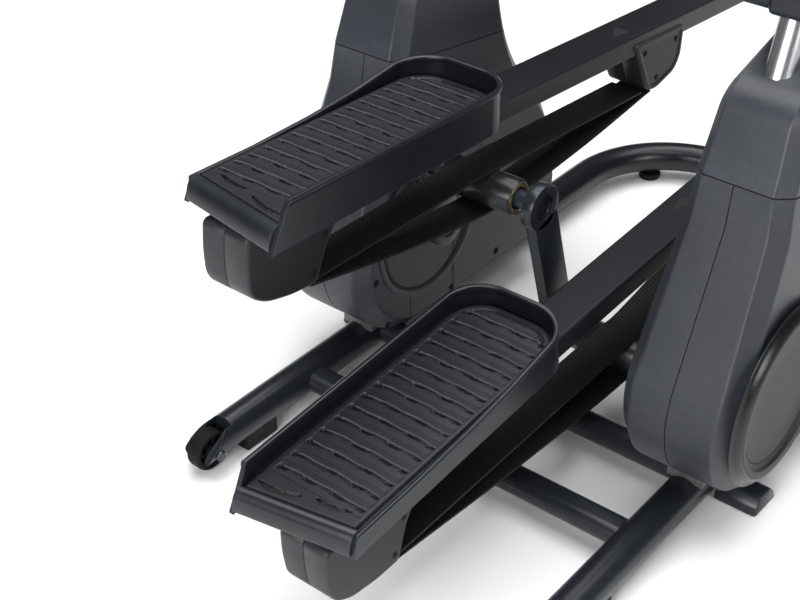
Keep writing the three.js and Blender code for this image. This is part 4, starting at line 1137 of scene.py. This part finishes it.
# %% Relief of the tread mat
MAT_TOP, MAT_FOOT = 36.3, 30.3
MAT_HALF, MAT_REAR, MAT_FRONT, MAT_NOSE_R = 77.5, 23.5, 480, 50
GROOVES, FIRST_GROOVE, PITCH = 15, 64.0, 27.4
ROWS, COLUMNS = 440, 116
SLOTS = ((-0.80, 0.07, False), (-0.22, 0.11, True), (0.36, 0.11, True), (0.82, 0.05, False))
CRESCENTS = ((-72, -10, 39, -7), (8, 58, 44, -4))


def dip(distance, half_width, soft=0.7):
    """1 inside a band, falling softly to 0 at its edge."""
    return min(1.0, max(0.0, (half_width + soft - abs(distance)) / soft))


def mat_height(x, y, edge):
    """Height of the mat's surface, and how much of a crest and of a groove it is there."""
    height = MAT_TOP - 1.6 * max(0.0, 1 - edge / 1.8) ** 2
    crest = groove = 0.0
    u = x / MAT_HALF
    number = round((y - FIRST_GROOVE) / PITCH)
    if 0 <= number < GROOVES and edge > 6:
        wander = 0.7 * math.sin(x / 8.5 + number * 1.9) - 2.0 * u * u
        away = y - FIRST_GROOVE - number * PITCH - wander
        reach = dip(abs(u) - 0.42, 0.47, 0.02)
        groove = dip(away, 1.5, 0.8) * reach
        crest = dip(away - 2.9, 0.3, 0.55) * reach
        height += 0.9 * crest - 2.2 * groove - 0.5 * (away / 13) ** 2 * dip(abs(u) - 0.4, 0.5, 0.04)
        shift = 0.07 if number % 2 else -0.05
        for place, width, staggered in SLOTS:
            slot = dip(u - place - shift * staggered, width, 0.02) * dip(away + 0.9, 2.4)
            height -= 2.2 * slot
            groove = max(groove, slot)
        stem = dip(u + 0.86, 0.02, 0.02) * dip(away, 5.0)
        height -= 2.4 * stem
        groove = max(groove, stem)
    if y > 440:
        ridge = dip(edge - 11, 1.7) * dip(abs(u) - 0.1, 0.75, 0.1)
        height -= 2.2 * ridge
        groove = max(groove, ridge)
    for low, high, base, bow in CRESCENTS:
        t = (x - low) / (high - low)
        if 0 < t < 1:
            line = base + 0.16 * x + bow * math.sin(math.pi * t)
            crescent = dip(y - line, 3.4 * math.sin(math.pi * t) ** 0.7, 0.8)
            height -= 3.4 * crescent
            groove = max(groove, crescent)
    return height, crest, groove


print("height in a groove", round(mat_height(0, FIRST_GROOVE, 50)[0], 1))

# %% [markdown]
# The grid follows the mat's plan: its columns close in over the rounded nose, and its rear rows lie
# aslant like the tray's lip. A skirt round the rim gives the mat its thickness. Each corner also keeps
# how much of a crest or a groove it is, for the finish to read.

# %% Mesh of the tread mat


def mat_point(across, along):
    """One point of the mat's plan, and how far it is from the nearest edge."""
    middle = MAT_HALF - MAT_NOSE_R
    y = MAT_REAR + (MAT_FRONT - MAT_REAR) * along
    x = across * half_width(y, MAT_HALF, MAT_NOSE_R, middle)
    edge = min(MAT_HALF - abs(x), y - MAT_REAR + 0.5)
    if y > NOSE_Y:
        edge = min(edge, MAT_NOSE_R - math.hypot(max(0, abs(x) - middle), y - NOSE_Y))
    return x, y + REAR_SKEW * x * max(0.0, 1 - along * 1.4), max(0.0, edge)


def mat_shape():
    """The mat as corners and faces, and how much of a crest and a groove each corner has."""
    top, crests, grooves = [], [], []
    for r in range(ROWS + 1):
        for c in range(COLUMNS + 1):
            x, y, edge = mat_point(-1 + 2 * c / COLUMNS, r / ROWS)
            height, crest, groove = mat_height(x, y, edge)
            top.append(Vector((x, y, height)))
            crests.append(crest)
            grooves.append(groove)
    faces = []
    width = COLUMNS + 1
    for r in range(ROWS):
        faces += [(r * width + c, r * width + c + 1, (r + 1) * width + c + 1, (r + 1) * width + c)
                  for c in range(COLUMNS)]
    rim = list(range(COLUMNS + 1)) + [r * width + COLUMNS for r in range(1, ROWS + 1)]
    rim += [ROWS * width + c for c in range(COLUMNS - 1, -1, -1)]
    rim += [r * width for r in range(ROWS - 1, 0, -1)]
    foot = [Vector((top[i].x, top[i].y, MAT_FOOT)) for i in rim]
    start = len(top)
    for k, index in enumerate(rim):
        nxt = (k + 1) % len(rim)
        faces.append((index, start + k, start + nxt, rim[nxt]))
    marks = {"crest": crests + [0.0] * len(foot), "groove": grooves + [0.0] * len(foot)}
    return (top + foot, faces + [tuple(range(start, start + len(foot)))]), marks


mat, marks = mat_shape()
for name, side in SIDES:
    piece = build(f"mat_{name}", mat, f"arm_{name}", "mat_rubber", (f"tread_mat_{name}",), PLATE[name],
                  crease=60)
    for mark, values in marks.items():
        piece.data.attributes.new(mark, "FLOAT", "POINT").data.foreach_set("value", values)
print("mat corners", len(mat[0]))

# %% [markdown]
# Two moulded halves close the rear of each arm, and two more hold the front ends of the belts. Each
# half has a generous radius on its outside and only a small one along the seam. The front ones have a
# raised band round a sunk face. Layers of an inset outline give both effects from one side view.

# %% Rear covers and belt brackets
REAR_COVER = soften([(-1346, 3), (-1352, -4), (-1352, -40), (-1347, -76), (-1337, -92), (-1313, -106),
                     (-1265, -115), (-1220, -116), (-1215, -112), (-1197, -60), (-1171, -24), (-1171, 0),
                     (-1185, 7)], 14)
BELT_BRACKET = soften([(-438, 2), (-378, -92), (-350, -98), (-291, -80), (-276, -56), (-278, 2)], 12)
COVER_STATIONS = [(0.2, 2.2), (0.5, 0.7), (1.4, 0), (34.5, 0), (37, 0.6), (39, 2.2), (39.8, 4.2), (40, 6)]
BRACKET_STATIONS = [(0.2, 1.6), (0.5, 0.5), (1.2, 0), (34, 0), (37, 0.8), (38.7, 2.6), (38.9, 6), (38.4, 8),
                    (37.2, 9), (37, 14)]
COVER_SCREWS = ((36.9, -400, -20), (36.9, -300, -20), (36.9, -350, -76), (39.6, -1205, -46),
                (39.6, -1225, -98))
HALVES = (("cover", "rear_cover", REAR_COVER, COVER_STATIONS),
          ("belt_end", "belt_bracket", BELT_BRACKET, BRACKET_STATIONS))


for name, side in SIDES:
    for kind, outward in (("inner", -1), ("outer", 1)):
        for piece, part_name, outline, stations in HALVES:
            half = layers(outline, [(outward * x, depth) for x, depth in stations])
            build(f"{piece}_{kind}_{name}", half, f"arm_{name}", "cover_plastic",
                  (f"{part_name}_{kind}_{name}",), ARM[name], crease=50)
        heads = [small_screw(outward * x, y, z, outward, 4.2) for x, y, z in COVER_SCREWS]
        build(f"cover_screws_{kind}_{name}", together(heads), f"arm_{name}", "foot_rubber", place=ARM[name])
print("pieces", len(built))

# %% [markdown]
# Two flat belts run from the rear cover to the front bracket and pass above and below the crank's
# roller. They are the springs of this machine: the rider's weight hangs in them. A belt is a thin
# strip that follows a smooth line, with a slightly thicker hem on both edges.

# %% Support belts
BELT_HALF, BELT_THICK, HEM = 30, 4, 3.5


def roller_in_arm(name, side):
    """The roller's place along the arm and its height, in the arm's own frame."""
    pin = crank_pin(side)
    pivot = MACHINE.inverted() @ Vector(joints[f"arm_{name}_hinge"]["pos_m"])
    turn = math.radians(ARM_PITCH[name])
    dy, dz = pin.y - pivot.y, pin.z - pivot.z
    return dy * math.cos(turn) + dz * math.sin(turn), -dy * math.sin(turn) + dz * math.cos(turn)


def between(a, b, t, sag=0.0):
    return (a[0] + (b[0] - a[0]) * t, a[1] + (b[1] - a[1]) * t - sag)


def upper_line(along, height):
    crest = height + ROLLER_R + BELT_THICK / 2 + 0.3
    rear, front = (-1218, -118), (-380, -98)
    before, after = (along - 40, crest - 0.5), (along + 40, crest - 0.5)
    return [rear, between(rear, before, 0.33), between(rear, before, 0.66), before, (along, crest), after,
            between(after, front, 0.5), front]


def lower_line(along, height):
    rear, front, bottom = (-1218, -123.5), (-350, -103), (along + 20, height - ROLLER_R - BELT_THICK / 2 - 6)
    return [rear, between(rear, bottom, 0.5, 8), bottom, between(bottom, front, 0.5, 8), front]


def belt_shape(line):
    """A strip that follows a line, half a millimetre thinner between its two hems."""
    run = [Vector((0, p.x, p.y)) for p in smooth_run([Vector((a, b, 0)) for a, b in line], 14)]
    rim, inner = BELT_THICK / 2, BELT_HALF - HEM
    below = [(inner - 1, 0.5 - rim), (inner, -rim), (BELT_HALF - 0.5, -rim), (BELT_HALF, 0.6 - rim)]
    right = both_ends(below)
    return swept(run, right + [(-u, -v) for u, v in right])


for name, side in SIDES:
    along, height = roller_in_arm(name, side)
    for kind, line in (("upper", upper_line(along, height)), ("lower", lower_line(along, height))):
        build(f"belt_{kind}_{name}", belt_shape(line), f"arm_{name}", "belt_rubber",
              (f"support_belt_{kind}_{name}",), ARM[name], crease=50)
    print(name, "roller sits at", round(along, 1), round(height, 1))

# %% [markdown]
# Some parts already look right as the design model has them: those shut inside the towers, and the
# console, whose plain box needs no finer piece. They only get a finish.

# %% Finishes for the parts kept from the design model
kept = {"crank_bearing": "pulley_iron", "drive_pulley": "pulley_iron", "flywheel": "pulley_iron",
        "drive_belt": "foot_rubber", "console_housing": "cap_plastic", "console_shelf": "cap_plastic",
        "console_screen": "screen_glass"}
for node, item in frame["nodes"].items():
    for start, slot in kept.items():
        if node.startswith(start):
            item.data.materials.clear()
            item.data.materials.append(finishes[slot])
print("kept parts dressed")

# %% [markdown]
# Last, the number of pieces built is printed.

# %% Count the pieces
print("pieces", len(built))
